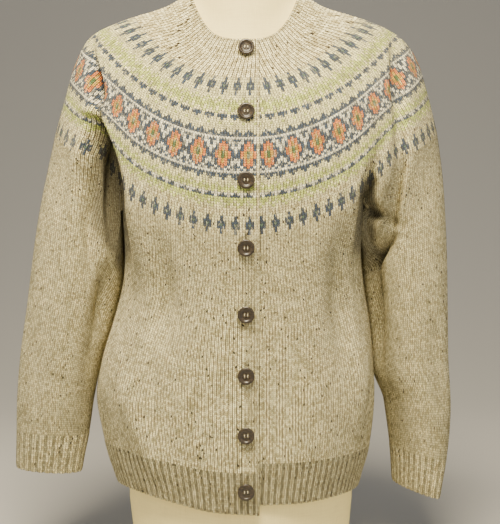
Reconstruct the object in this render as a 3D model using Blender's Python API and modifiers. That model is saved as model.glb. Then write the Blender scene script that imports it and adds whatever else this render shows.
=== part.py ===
"""A buttoned round-yoke cardigan in knitted wool, on a limbless dress form.

Tables and sizes are in millimetres and meshes in metres. X runs to the wearer's left, Y to the back and
Z up. The origin is the middle of the form's flat underside. Places round the body are turns in degrees
from the centre front towards the wearer's right: 90 is the right side, 180 the centre back and 270 the
left side.
"""

import functools
import math
from typing import NamedTuple

import bmesh
import bpy
import numpy as np
from mathutils import Vector

MM = 0.001
MERGE = 1e-5  # metres

# Knitted cloth and how its pieces meet.
WALL = 2.4  # plain knitting
RIB_VALLEY = 0.9  # how far a rib's valley lies under its crown
SEAM = 0.45  # gap between pieces that are joined
BAND_SEAM = 0.7  # gap between the neckband and the yoke
LAP_GAP = 1.1  # gap between the two fronts where they lap

# Front lap and buttons.
LAP_OVER = 18.0  # the right front's edge, past the centre
LAP_UNDER = 16.0  # the left front's edge, past the centre, under the right front
LAP_STEP_FROM, LAP_STEP_TO = 334.0, 350.0  # turns where the left front dips under the right one
BUTTON_RADIUS = 9.5
BUTTON_THICK = 3.6
BUTTON_X = 3.0
BUTTON_GAP = 0.5
# Half a button's section from its middle: shares of its radius and of its thickness.
BUTTON_OUTLINE = (
    (0.0, 0.58),
    (0.62, 0.62),
    (0.80, 1.0),
    (0.93, 0.92),
    (1.0, 0.55),
    (0.90, 0.12),
    (0.55, 0.0),
    (0.0, 0.0),
)
BUTTON_HEIGHTS = (622.0, 545.0, 469.0, 395.0, 321.0, 253.0, 187.0, 123.0)

# Bands and ribs.
NECKBAND_DEPTH = 24.0
NECK_RIBS = 116
HEM_DEPTH = 48.0
HEM_RIBS = 122
CUFF_DEPTH = 46.0
CUFF_RIBS = 24

# Where the yoke's last round meets the sleeves, and the points under the arms.
ARM_FRONT, ARM_BACK = 39.0, 141.0
UNDERARM_HEIGHT = 452.0
UNDERARM_REACH = 141.0
UNDERARM_ARCH = 0.8  # a lower power makes the arch under the arm squarer
CORNER_GAP = 1.6  # the seam opens this much in the folded corners of the armholes
CORNER_SPREAD = 3.5  # degrees

# The form.
FORM_CLEAR = 1.0  # between the form's shoulders and the yoke
FORM_LAP_TURN = 32.0  # up to here from the centre front, the form leaves room for the lap
FORM_LAP_FADE = 26.0
NECK_TOP_HEIGHT = 770.0


class Ring(NamedTuple):
    """A round of the yoke: cloth from the neck edge, reach to each side, and heights."""

    drop: float
    right: float
    left: float
    front: float
    back: float
    z_front: float
    z_right: float
    z_left: float
    z_back: float
    rise: float  # the power by which the round climbs to the shoulders
    lobe: float  # extra height on the front of the sleeves


YOKE = (
    Ring(0.0, 67, 67, 55, 50, 636, 701, 701, 714, 3.4, 0),
    Ring(24.0, 90, 92, 66, 63, 614, 685, 685, 696, 3.0, 0),
    Ring(66.0, 146, 152, 88, 88, 577, 666, 665, 660, 2.3, 0),
    Ring(108.0, 184, 188, 104, 101, 538, 647, 646, 621, 2.2, 0),
    Ring(150.0, 203, 208, 116, 106, 498, 615, 620, 579, 2.2, 4),
    Ring(192.0, 215, 221, 122, 108, 457, 575, 580, 537, 2.1, 10),
    Ring(240.0, 228, 233, 125, 109, 409, 529, 533, 490, 2.0, 15),
)
SPLIT_DROP = YOKE[-1].drop  # where the body and the sleeves part
LOBE_AT, LOBE_SPREAD = 0.74, 0.12  # as shares of a round's reach


class Level(NamedTuple):
    """The body at one height: reach to each side, to the front and to the back."""

    z: float
    right: float
    left: float
    front: float
    back: float


BODY = (
    Level(90, 150, 138, 111, 101),
    Level(118, 157, 143, 113, 103),
    Level(145, 166, 151, 116, 106),
    Level(175, 173, 156, 118, 108),
    Level(215, 179, 159, 119, 108),
    Level(260, 172, 157, 117, 105),
    Level(310, 157, 152, 115, 102),
    Level(350, 147, 145, 116, 102),
    Level(390, 142, 139, 119, 104),
    Level(430, 140, 138, 122, 106),
    Level(540, 141, 141, 124, 108),
)
BODY_SQUARE = 2.25  # 2 would be an ellipse
BODY_AT_ARM_FRONT, BODY_AT_ARM_BACK = 61.0, 119.0  # turns on the body under the armholes' corners
BODY_FADE = 120.0  # cloth over which the yoke's shape passes into the body's


class HemPoint(NamedTuple):
    """The height of the hem's edge at a turn."""

    turn: float
    z: float


HEM = (
    HemPoint(-9, 94),
    HemPoint(0, 96),
    HemPoint(12, 98.5),
    HemPoint(25, 105),
    HemPoint(48, 113),
    HemPoint(90, 112),
    HemPoint(140, 108),
    HemPoint(180, 106),
    HemPoint(220, 107),
    HemPoint(270, 108),
    HemPoint(308, 109),
    HemPoint(345, 106),
    HemPoint(369, 106),
)


class SleeveLevel(NamedTuple):
    """A sleeve at one height: outer and inner reach, depth of its middle, half depth and lean."""

    z: float
    outer: float
    inner: float
    middle: float
    depth: float
    lean: float  # how far the outer edge stands back of the middle


RIGHT_SLEEVE = (
    SleeveLevel(100, 279, 197, -15, 23, 3),
    SleeveLevel(122, 278, 196, -14, 24, 3),
    SleeveLevel(172, 276.5, 187, -12, 31, 2),
    SleeveLevel(210, 275.5, 182, -10, 38, 1),
    SleeveLevel(260, 271.5, 175, -8, 43, 0),
    SleeveLevel(330, 262, 157, -6, 48, 0),
    SleeveLevel(400, 253, 155, -4, 54, 0),
    SleeveLevel(460, 243, 149, -2, 61, 0),
    SleeveLevel(560, 223, 135, 0, 72, 0),
)
LEFT_SLEEVE = (
    SleeveLevel(80, 231, 185, -14, 22, -30),
    SleeveLevel(100, 233, 184, -14, 22, -30),
    SleeveLevel(142, 240, 181, -14, 26, -28),
    SleeveLevel(200, 245.5, 173, -13, 34, -24),
    SleeveLevel(265, 243.5, 162, -12, 40, -18),
    SleeveLevel(330, 243.5, 155, -10, 46, -13),
    SleeveLevel(400, 243, 152, -7, 53, -8),
    SleeveLevel(460, 240.5, 147, -3, 61, -3),
    SleeveLevel(560, 227, 137, 0, 72, 0),
)
SLEEVE_FADE = 105.0  # cloth over which the yoke's shape passes into the sleeve's
SLEEVE_CORNER_SHARE = 0.3  # how much of the corners' gap a sleeve takes
CUFF_COLUMNS = 3  # to a rib: two on its crown and one in the valley beside it
# Turns on the yoke's last round against angles round the sleeve, from its outer edge to the front.
SLEEVE_TURNS = (ARM_FRONT, 52.0, 90.0, 128.0, ARM_BACK)
SLEEVE_ANGLES = (140.0, 105.0, 0.0, -105.0, -140.0)


class Fold(NamedTuple):
    """A soft trough or ridge: its ends, its angle at each end, its spread and its depth.

    The ends are drops on the yoke and heights elsewhere. A ridge has a positive depth.
    """

    start: float
    end: float
    start_angle: float
    end_angle: float
    spread: float
    depth: float


FOLD_FADE = 1.3  # over 1, a fold's depth dies away sooner towards its ends

YOKE_FOLDS = (
    Fold(118, 362, 43, 37, 5.2, -41),  # right front armhole
    Fold(118, 362, 317, 323, 5.2, -36),  # left front armhole
    Fold(128, 352, 138, 142, 5.5, -26),  # right back armhole
    Fold(128, 352, 222, 218, 5.5, -26),  # left back armhole
    Fold(88, 330, 64, 50, 4.4, -18),  # crease down the front of the right sleeve
    Fold(84, 330, 295, 311, 4.4, -17),  # crease down the front of the left sleeve
    Fold(110, 330, 119, 131, 5.0, -8),  # the same creases on the back
    Fold(110, 330, 241, 229, 5.0, -8),
)
BODY_FOLDS = (
    Fold(470, 370, 44, 40, 5, -5),  # under the right armhole
    Fold(410, 280, 42, 30, 7, -6),
    Fold(345, 175, 62, 56, 14, 7),  # hip
    Fold(260, 130, 46, 36, 7, 4),
    Fold(470, 260, 308, 316, 7, -6),  # under the left armhole
    Fold(320, 180, 300, 306, 10, 5),
    Fold(430, 250, 152, 142, 8, -6),
    Fold(430, 230, 214, 224, 8, -6),
    Fold(330, 170, 196, 184, 10, 4),
)
RIGHT_SLEEVE_FOLDS = (
    Fold(640, 330, 102, 112, 13, -17),  # between the two lobes in front
    Fold(560, 300, 122, 158, 16, 9),  # the inner lobe
    Fold(360, 230, 118, 150, 18, -7),
    Fold(330, 190, 40, 70, 20, -4),
    Fold(520, 300, -100, -120, 18, -10),
    Fold(340, 200, -60, -30, 20, -5),
)
LEFT_SLEEVE_FOLDS = (
    Fold(620, 385, 98, 114, 13, -15),  # between the two lobes in front
    Fold(560, 380, 126, 140, 18, 11),  # the inner lobe, which ends in a pouch
    Fold(440, 345, 106, 160, 13, -13),  # under the pouch
    Fold(400, 220, 152, 164, 14, -7),
    Fold(330, 170, 60, 40, 20, -4),
    Fold(520, 300, -100, -124, 18, -10),
    Fold(320, 180, -50, -80, 20, -5),
)


class Sleeve(NamedTuple):
    """A sleeve's shape: the side it hangs on, its levels and folds, and its cuff's top and tilt."""

    side: int  # -1 for the wearer's right
    levels: tuple
    folds: tuple
    cuff_top: float
    cuff_tilt: float  # how much higher the cuff stands at its outer edge


SLEEVES = {
    "right": Sleeve(-1, RIGHT_SLEEVE, RIGHT_SLEEVE_FOLDS, 171.0, 2.0),
    "left": Sleeve(1, LEFT_SLEEVE, LEFT_SLEEVE_FOLDS, 146.0, -3.0),
}

# The form under the cloth. Its shoulders follow the yoke, and these rounds carry on above and below.
FORM_ABOVE = (
    Ring(-75, 53, 53, 53, 53, NECK_TOP_HEIGHT, NECK_TOP_HEIGHT, NECK_TOP_HEIGHT, NECK_TOP_HEIGHT, 2, 0),
    Ring(-60, 54, 54, 53, 52, 742, 748, 748, 750, 2, 0),
    Ring(-40, 56, 56, 51, 49, 704, 722, 722, 731, 2, 0),
    Ring(-18, 60, 60, 50, 47, 664, 709, 709, 722, 3, 0),
)
FORM_BELOW = (
    Ring(88, 157, 158, 91, 88, 552, 650, 650, 634, 2.5, 0),
    Ring(104, 164, 165, 99, 95, 528, 634, 634, 606, 2.6, 0),
    Ring(126, 160, 160, 105, 98, 508, 598, 598, 572, 2.6, 0),
    Ring(155, 141, 141, 109, 97, 482, 538, 538, 524, 2.4, 0),
    Ring(190, 127, 127, 110, 95, 452, 478, 478, 474, 2.0, 0),
    Ring(235, 122, 122, 104, 91, 408, 418, 418, 418, 2.0, 0),
    Ring(310, 114, 114, 92, 82, 335, 338, 338, 338, 2.0, 0),
    Ring(390, 128, 128, 97, 90, 258, 260, 260, 260, 2.0, 0),
    Ring(470, 141, 134, 103, 97, 180, 180, 180, 180, 2.0, 0),
    Ring(560, 140, 132, 101, 95, 90, 90, 90, 90, 2.0, 0),
    Ring(650, 130, 124, 95, 89, 0, 0, 0, 0, 2.0, 0),
)

# Columns round the yoke, as (from, to, count) in turns up to the centre back; the rest mirrors them.
COLUMN_SPANS = (
    (0, 24, 4),
    (24, ARM_FRONT, 5),
    (ARM_FRONT, 57, 6),
    (57, 123, 7),
    (123, ARM_BACK, 5),
    (ARM_BACK, 156, 4),
    (156, 180, 2),
)
UNDERARM_COLUMNS = 6
YOKE_ROWS = 11
BODY_ROWS = 10
SLEEVE_ROWS = 15
ROW_CROWDING = 1.15  # over 1, the rows of the body and the sleeves stand closer near their tops
FORM_COLUMN_STEP = 2
FORM_YOKE_ROWS = 3
FRONT_COLUMNS = 11  # columns of a panel, from its front edge, that hold the buttons
BUTTON_STEPS = 16
SMOOTH_UP_TO = 50.0  # degrees between faces

COLOURS = {
    "tweed": ((0.52, 0.45, 0.33, 1.0), 0.95),
    "yoke_knit": ((0.47, 0.47, 0.36, 1.0), 0.95),
    "horn": ((0.075, 0.045, 0.025, 1.0), 0.28),
    "linen": ((0.80, 0.73, 0.52, 1.0), 0.9),
}


# ---------------------------------------------------------------------------------------------------------
# Curves through tables


def row_at(rows, place):
    """The table's row at a value of its first column, on a smooth curve through its rows."""
    table = np.array(rows, float)
    keys = table[:, 0]
    slopes = np.gradient(table, keys, axis=0)
    place = np.clip(np.asarray(place, float), keys[0], keys[-1])
    below = np.clip(np.searchsorted(keys, place, side="right") - 1, 0, len(keys) - 2)
    span = keys[below + 1] - keys[below]
    share = (place - keys[below]) / span
    span, share = span[..., None], share[..., None]
    curve = (
        table[below] * (1 + 2 * share) * (1 - share) ** 2
        + table[below + 1] * share**2 * (3 - 2 * share)
        + slopes[below] * span * share * (1 - share) ** 2
        - slopes[below + 1] * span * share**2 * (1 - share)
    )
    return type(rows[0])(*np.moveaxis(curve, -1, 0))


def smooth_step(value):
    value = np.clip(value, 0.0, 1.0)
    return value * value * (3 - 2 * value)


def fold_push(folds, angles, along):
    """How far the folds push the cloth outwards at each angle and place along the piece."""
    push = np.zeros(np.broadcast(angles, along).shape)
    for fold in folds:
        share = (along - fold.start) / (fold.end - fold.start)
        line = fold.start_angle + (fold.end_angle - fold.start_angle) * share
        fade = np.sin(math.pi * np.clip(share, 0.0, 1.0)) ** FOLD_FADE
        push += fold.depth * fade * np.exp(-(((angles - line) / fold.spread) ** 2))
    return push


def lap_inset(turns):
    """How far the left front lies under the right one."""
    return (WALL + LAP_GAP) * smooth_step((turns - LAP_STEP_FROM) / (LAP_STEP_TO - LAP_STEP_FROM))


# ---------------------------------------------------------------------------------------------------------
# Surfaces of the garment's outside


def ring_points(ring, turns):
    """Points of a round at turns in degrees."""
    sine, cosine = np.sin(np.radians(turns)), np.cos(np.radians(turns))
    reach = np.where(sine > 0, ring.right, ring.left)
    depth = np.where(cosine > 0, ring.front, ring.back)
    side = np.where(sine > 0, ring.z_right, ring.z_left)
    middle = np.where(cosine > 0, ring.z_front, ring.z_back)
    height = middle + (side - middle) * np.abs(sine) ** ring.rise
    lobe = ring.lobe * np.exp(-(((np.abs(sine) - LOBE_AT) / LOBE_SPREAD) ** 2)) * (cosine > 0)
    return np.stack([-reach * sine, -depth * cosine, height + lobe], -1)


def ring_outward(ring, turns):
    """The level direction in which a fold or a lap moves a round's points."""
    sine, cosine = np.sin(np.radians(turns)), np.cos(np.radians(turns))
    reach = np.where(sine > 0, ring.right, ring.left)
    depth = np.where(cosine > 0, ring.front, ring.back)
    facing = np.stack([-sine / reach, -cosine / depth, np.zeros_like(sine)], -1)
    return facing / np.linalg.norm(facing, axis=-1, keepdims=True)


def yoke_surface(drops, turns):
    """The yoke's outside at cloth distances from the neck edge and turns."""
    ring = row_at(YOKE, drops)
    wrapped = np.mod(turns, 360.0)
    push = fold_push(YOKE_FOLDS, wrapped, drops) - lap_inset(turns)
    return ring_points(ring, turns) + push[..., None] * ring_outward(ring, turns)


def body_surface(heights, turns):
    """The body's outside at heights and turns, before the yoke's shape is blended in."""
    level = row_at(BODY, heights)
    sine, cosine = np.sin(np.radians(turns)), np.cos(np.radians(turns))
    reach = np.where(sine > 0, level.right, level.left)
    depth = np.where(cosine > 0, level.front, level.back)
    power = 2 / BODY_SQUARE
    push = fold_push(BODY_FOLDS, np.mod(turns, 360.0), heights) - lap_inset(turns)
    across = -(reach + push) * np.sign(sine) * np.abs(sine) ** power
    forward = -(depth + push) * np.sign(cosine) * np.abs(cosine) ** power
    return np.stack([across, forward, np.broadcast_to(heights, across.shape)], -1)


def sleeve_surface(sleeve, heights, angles):
    """A sleeve's outside; angle 0 is its outer edge and 90 its front."""
    level = row_at(sleeve.levels, heights)
    cosine, sine = np.cos(np.radians(angles)), np.sin(np.radians(angles))
    push = fold_push(sleeve.folds, np.mod(angles + 180.0, 360.0) - 180.0, heights)
    across = (level.outer + level.inner) / 2 + ((level.outer - level.inner) / 2 + push) * cosine
    forward = level.middle - (level.depth + push) * sine + level.lean * cosine
    return np.stack([sleeve.side * across, forward, np.broadcast_to(heights, across.shape)], -1)


def ring_edges(ring):
    """Turns of the right front's edge and of the left front's edge on a round of the yoke."""
    over = -math.degrees(math.asin(LAP_OVER / float(ring.left)))
    under = 360.0 + math.degrees(math.asin(LAP_UNDER / float(ring.right)))
    return over, under


def body_turn(across, reach):
    """The turn from the centre front at which the body is this far across."""
    return math.degrees(math.asin((across / float(reach)) ** (BODY_SQUARE / 2)))


def even_places(points_at, first, last, count):
    """Places from first to last that lie an equal length apart along a curve."""
    dense = np.linspace(first, last, 1441)
    steps = np.linalg.norm(np.diff(points_at(dense), axis=0), axis=1)
    length = np.concatenate([[0.0], np.cumsum(steps)])
    return np.interp(np.linspace(0.0, length[-1], count), length, dense)


def column_turns():
    """Turns of the columns from the centre front round to the centre front again."""
    half = [np.linspace(start, end, count, endpoint=False) for start, end, count in COLUMN_SPANS]
    half = np.concatenate([*half, [180.0]])
    return np.concatenate([half, (360.0 - half[::-1])[1:]])


def yoke_turns(drop):
    """Turns of the columns on a round, from one front edge to the other."""
    over, under = ring_edges(row_at(YOKE, drop))
    return np.concatenate([[over], column_turns(), [under]])


def yoke_drops():
    """The cloth distances from the neck edge at which the yoke has its rows."""
    return np.linspace(NECKBAND_DEPTH, SPLIT_DROP, YOKE_ROWS + 1)


def yoke_grid():
    """The yoke's outside, its columns ending at the front edges."""
    return np.array([yoke_surface(drop, yoke_turns(drop)) for drop in yoke_drops()])


# ---------------------------------------------------------------------------------------------------------
# Walls


def outward(grid, closed):
    """Unit directions out of a grid of points, rows down the cloth and columns round it."""
    down = np.gradient(grid, axis=0)
    across = np.roll(grid, -1, 1) - np.roll(grid, 1, 1) if closed else np.gradient(grid, axis=1)
    facing = np.cross(across, down)
    facing /= np.linalg.norm(facing, axis=-1, keepdims=True)
    middle = grid.mean(axis=1, keepdims=True)
    return facing if np.sum(facing * (grid - middle)) > 0 else -facing


def levelled(facing, row):
    """Turns one row's directions level, so that two pieces meet there along level edges."""
    facing[row, :, 2] = 0.0
    facing[row] /= np.linalg.norm(facing[row], axis=-1, keepdims=True)


def ribbed(grid, facing, valleys):
    """The grid with the columns marked as valleys sunk, so that the ribs stand out."""
    return grid - RIB_VALLEY * valleys[None, :, None] * facing


def add_wall(name, outer, inner, closed, material):
    """A closed cloth wall between two grids; the inner one may have fewer columns."""
    mesh = bpy.data.meshes.new(name)
    work = bmesh.new()
    outside = [[work.verts.new(point * MM) for point in row] for row in outer]
    inside = [[work.verts.new(point * MM) for point in row] for row in inner]
    for lines, turned in ((outside, False), (inside, True)):
        count = len(lines[0])
        for upper, lower in zip(lines, lines[1:]):
            for k in range(count if closed else count - 1):
                after = (k + 1) % count
                corners = (upper[k], upper[after], lower[after], lower[k])
                work.faces.new(corners[::-1] if turned else corners)
    add_rims(work, outside, inside, closed)
    bmesh.ops.recalc_face_normals(work, faces=work.faces)
    bmesh.ops.triangulate(work, faces=work.faces, quad_method="SHORT_EDGE")
    work.to_mesh(mesh)
    work.free()
    dress(mesh, material)
    add_object(name, mesh)


def add_rims(work, outside, inside, closed):
    """Faces along the top, the bottom and the open ends of a wall."""
    count = len(inside[0])
    step = len(outside[0]) // count if closed else (len(outside[0]) - 1) // (count - 1)
    for over, under in ((outside[0], inside[0]), (outside[-1], inside[-1])):
        for k in range(count if closed else count - 1):
            edge = [over[(k * step + i) % len(over)] for i in range(step + 1)]
            work.faces.new([*edge, under[(k + 1) % count], under[k]])
    if closed:
        return
    for column in (0, -1):
        edge = [row[column] for row in outside]
        work.faces.new([*edge, *[row[column] for row in inside][::-1]])


def dress(mesh, material):
    """Gives a mesh its material and shades it smooth except at its edges."""
    mesh.materials.append(material)
    mesh.shade_smooth()
    mesh.set_sharp_from_angle(angle=math.radians(SMOOTH_UP_TO))


def add_object(name, mesh):
    """A part in the garment's collection."""
    part = bpy.data.objects.new(name, mesh)
    bpy.data.collections["cardigan"].objects.link(part)
    return part


# ---------------------------------------------------------------------------------------------------------
# Pieces


def neckband_grid():
    """The outside of the band round the neck, before it is ribbed."""
    rows = []
    for drop in (YOKE[0].drop, NECKBAND_DEPTH - BAND_SEAM):
        over, under = ring_edges(row_at(YOKE, drop))
        turns = even_places(lambda places: yoke_surface(drop, places), over, under, 2 * NECK_RIBS + 1)
        rows.append(yoke_surface(drop, turns))
    return np.array(rows)


def add_neckband(grid, material):
    """The ribbed band round the neck, from its edge down to the yoke."""
    facing = outward(grid, closed=False)
    valleys = np.arange(grid.shape[1]) % 2
    inner = (grid - WALL * facing)[:, ::2]
    add_wall("neckband", ribbed(grid, facing, valleys), inner, False, material)


def add_yoke(grid, material):
    """The patterned round yoke over shoulders, chest and the tops of the sleeves."""
    add_wall("yoke", grid, grid - WALL * outward(grid, closed=False), False, material)


def underarm(front_corner, back_corner, side):
    """Points under the arm from the armhole's front corner to its back corner, corners left out."""
    share = np.linspace(0.0, 1.0, UNDERARM_COLUMNS + 1)[1:-1, None]
    line = front_corner + (back_corner - front_corner) * smooth_step(share)
    arch = np.sin(math.pi * share) ** UNDERARM_ARCH
    middle = (front_corner + back_corner) / 2
    reach = side * UNDERARM_REACH - middle[0]
    fall = UNDERARM_HEIGHT - middle[2]
    return line + arch * np.array([reach, 0.0, fall])


def corner_gap(turns):
    """How much further the seam opens in the armholes' folded corners."""
    gap = np.zeros_like(turns)
    for corner in (ARM_FRONT, ARM_BACK, 360.0 - ARM_BACK, 360.0 - ARM_FRONT):
        gap += CORNER_GAP * np.exp(-(((turns - corner) / CORNER_SPREAD) ** 2))
    return gap


class Strip(NamedTuple):
    """The tops of a piece's columns, where each hangs on the piece below, and the gap at its seam."""

    points: np.ndarray
    places: np.ndarray  # turns on the body, or angles round the sleeve
    gap: np.ndarray
    under_arm: np.ndarray  # true for the columns that hang under an arm


def column_at(turns, turn):
    return int(np.argmin(np.abs(turns - turn)))


def body_strip(turns, points):
    """The top of the body from the right front's edge round to the left front's edge."""
    front_r, back_r = column_at(turns, ARM_FRONT), column_at(turns, ARM_BACK)
    back_l, front_l = column_at(turns, 360 - ARM_BACK), column_at(turns, 360 - ARM_FRONT)
    share = np.linspace(0.0, 1.0, UNDERARM_COLUMNS + 1)[1:-1]
    under = BODY_AT_ARM_FRONT + (BODY_AT_ARM_BACK - BODY_AT_ARM_FRONT) * share
    corners = (0, ARM_FRONT, ARM_BACK, 360 - ARM_BACK, 360 - ARM_FRONT, 360)
    below = (0, BODY_AT_ARM_FRONT, BODY_AT_ARM_BACK, 360 - BODY_AT_ARM_BACK, 360 - BODY_AT_ARM_FRONT, 360)
    places = np.interp(turns, corners, below)
    places[0], places[-1] = turns[0], turns[-1]
    gap = SEAM + corner_gap(turns)
    arm_gap = np.full(len(share), SEAM)
    right, middle, left = slice(0, front_r + 1), slice(back_r, back_l + 1), slice(front_l, None)
    right_arm = underarm(points[front_r], points[back_r], -1)
    left_arm = underarm(points[front_l], points[back_l], 1)[::-1]
    columns = [len(turns[right]), len(share), len(turns[middle]), len(share), len(turns[left])]
    return Strip(
        np.concatenate([points[right], right_arm, points[middle], left_arm, points[left]]),
        np.concatenate([places[right], under, places[middle], 360 - under[::-1], places[left]]),
        np.concatenate([gap[right], arm_gap, gap[middle], arm_gap, gap[left]]),
        np.repeat([False, True, False, True, False], columns),
    )


def body_grid(strip):
    """The body's outside from the yoke and the underarms down to the hem band."""
    foot = row_at(HEM, strip.places).z + HEM_DEPTH + SEAM
    top = strip.points[:, 2] - strip.gap
    hung = body_surface(strip.points[:, 2], front_edges(strip.points[:, 2], strip.places))
    moved = (strip.points - hung) * np.array([1.0, 1.0, 0.0])
    rows = []
    for share in np.linspace(0.0, 1.0, BODY_ROWS + 1) ** ROW_CROWDING:
        heights = top + (foot - top) * share
        fade = 0.5 + 0.5 * np.cos(math.pi * np.clip((top - heights) / BODY_FADE, 0.0, 1.0))
        rows.append(body_surface(heights, front_edges(heights, strip.places)) + fade[:, None] * moved)
    grid = np.array(rows)
    # Under the arms the body stands half a seam inside the line where it meets the sleeve.
    grid[..., 0] += np.where(strip.under_arm, SEAM * np.sign(np.sin(np.radians(strip.places))), 0.0)
    return grid


def add_body(strip, grid, yoke, material):
    """The right front, the back and the left front, parted under the arms."""
    facing = outward(grid, closed=False)
    blend_seam(facing, strip, yoke)
    levelled(facing, -1)
    inner = grid - WALL * facing
    last = len(strip.places) - 1
    right_seam, left_seam = column_at(strip.places, 90.0), column_at(strip.places, 270.0)
    spans = (
        ("front_right", 0, right_seam),
        ("back", right_seam, left_seam),
        ("front_left", left_seam, last),
    )
    for name, start, end in spans:
        walls = [grid[:, start : end + 1].copy(), inner[:, start : end + 1].copy()]
        for wall in walls:
            if start > 0:
                pull_in(wall, 0, 1)
            if end < last:
                pull_in(wall, -1, -2)
        add_wall(name, *walls, False, material)


def front_edges(heights, places):
    """The places with both front edges kept a lap's width from the centre at each height."""
    level = row_at(BODY, heights)
    moved = np.array(places, float)
    moved[0] = -body_turn(LAP_OVER, level.left[0])
    moved[-1] = 360.0 + body_turn(LAP_UNDER, level.right[-1])
    return moved


def pull_in(wall, edge, neighbour):
    """Moves a wall's edge column half a seam towards its neighbour."""
    along = wall[:, neighbour] - wall[:, edge]
    wall[:, edge] += SEAM / 2 * along / np.linalg.norm(along, axis=-1, keepdims=True)


def blend_seam(facing, strip, yoke):
    """Turns the top row's directions to the yoke's, except in the corners and under the arms."""
    facing_above = outward(yoke, closed=False)[-1]
    corners = corner_gap(yoke_turns(SPLIT_DROP)) / CORNER_GAP
    for column in np.flatnonzero(~strip.under_arm):
        above = int(np.argmin(np.linalg.norm(yoke[-1] - strip.points[column], axis=1)))
        share = 1.0 - min(1.0, corners[above])
        mixed = share * facing_above[above] + (1 - share) * facing[0, column]
        facing[0, column] = mixed / np.linalg.norm(mixed)


def sleeve_strip(turns, points, side):
    """The top of a sleeve: the armhole's front corner, over the shoulder, back and under the arm."""
    if side > 0:
        turns, points = 360.0 - turns[::-1], points[::-1]
    first, last = column_at(turns, ARM_FRONT), column_at(turns, ARM_BACK)
    arc = slice(first, last + 1)
    beneath = underarm(points[first], points[last], side)[::-1]
    share = np.linspace(0.0, 1.0, UNDERARM_COLUMNS + 1)[1:-1]
    angles = np.interp(turns[arc], SLEEVE_TURNS, SLEEVE_ANGLES)
    around = SLEEVE_ANGLES[-1] - (360.0 - 2 * SLEEVE_ANGLES[0]) * share
    return Strip(
        np.concatenate([points[arc], beneath]),
        np.concatenate([angles, around]),
        np.concatenate([SEAM + SLEEVE_CORNER_SHARE * corner_gap(turns[arc]), np.full(len(share), SEAM)]),
        np.repeat([False, True], [last + 1 - first, len(share)]),
    )


def add_sleeve(name, sleeve, strip, yoke, material):
    """A sleeve from the yoke and the underarm down to its cuff."""
    foot = sleeve.cuff_top + SEAM + sleeve.cuff_tilt * np.cos(np.radians(strip.places))
    top = strip.points[:, 2] - strip.gap
    hung = sleeve_surface(sleeve, strip.points[:, 2], strip.places)
    moved = (strip.points - hung) * np.array([1.0, 1.0, 0.0])
    rows = []
    for share in np.linspace(0.0, 1.0, SLEEVE_ROWS + 1) ** ROW_CROWDING:
        heights = top + (foot - top) * share
        fade = 0.5 + 0.5 * np.cos(math.pi * np.clip((top - heights) / SLEEVE_FADE, 0.0, 1.0))
        rows.append(sleeve_surface(sleeve, heights, strip.places) + fade[:, None] * moved)
    grid = np.array(rows)
    # Under the arm the sleeve stands half a seam outside the line where it meets the body.
    grid[..., 0] += np.where(strip.under_arm, sleeve.side * SEAM, 0.0)
    facing = outward(grid, closed=True)
    blend_seam(facing, strip, yoke)
    levelled(facing, -1)
    add_wall(name, grid, grid - WALL * facing, True, material)


def add_cuff(name, sleeve, material):
    """A sleeve's ribbed cuff."""
    count = CUFF_RIBS * CUFF_COLUMNS
    top = functools.partial(sleeve_surface, sleeve, sleeve.cuff_top)
    angles = even_places(top, 0.0, 360.0, count + 1)[:-1]
    rows = []
    for share in (0.0, 0.5, 1.0):
        heights = sleeve.cuff_top - CUFF_DEPTH * share + sleeve.cuff_tilt * np.cos(np.radians(angles))
        rows.append(sleeve_surface(sleeve, heights, angles))
    grid = np.array(rows)
    facing = outward(grid, closed=True)
    levelled(facing, 0)
    valleys = (np.arange(len(angles)) % CUFF_COLUMNS == CUFF_COLUMNS - 1).astype(float)
    inner = (grid - WALL * facing)[[0, -1]][:, ::CUFF_COLUMNS]
    add_wall(name, ribbed(grid, facing, valleys), inner, True, material)


def hem_grid():
    """The outside of the band round the hem, before it is ribbed."""
    edge_height = float(row_at(HEM, 0.0).z) + HEM_DEPTH / 2
    ends = front_edges(np.full(2, edge_height), np.zeros(2))
    turns = even_places(lambda places: body_surface(edge_height, places), *ends, 2 * HEM_RIBS + 1)
    rows = []
    for share in (1.0, 0.0):
        heights = row_at(HEM, turns).z + HEM_DEPTH * share
        rows.append(body_surface(heights, front_edges(heights, turns)))
    return np.array(rows)


def add_hem(grid, material):
    """The ribbed band round the hem."""
    facing = outward(grid, closed=False)
    levelled(facing, 0)
    valleys = np.arange(grid.shape[1]) % 2
    inner = (grid - WALL * facing)[:, ::2]
    add_wall("hem_rib", ribbed(grid, facing, valleys), inner, False, material)


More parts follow.
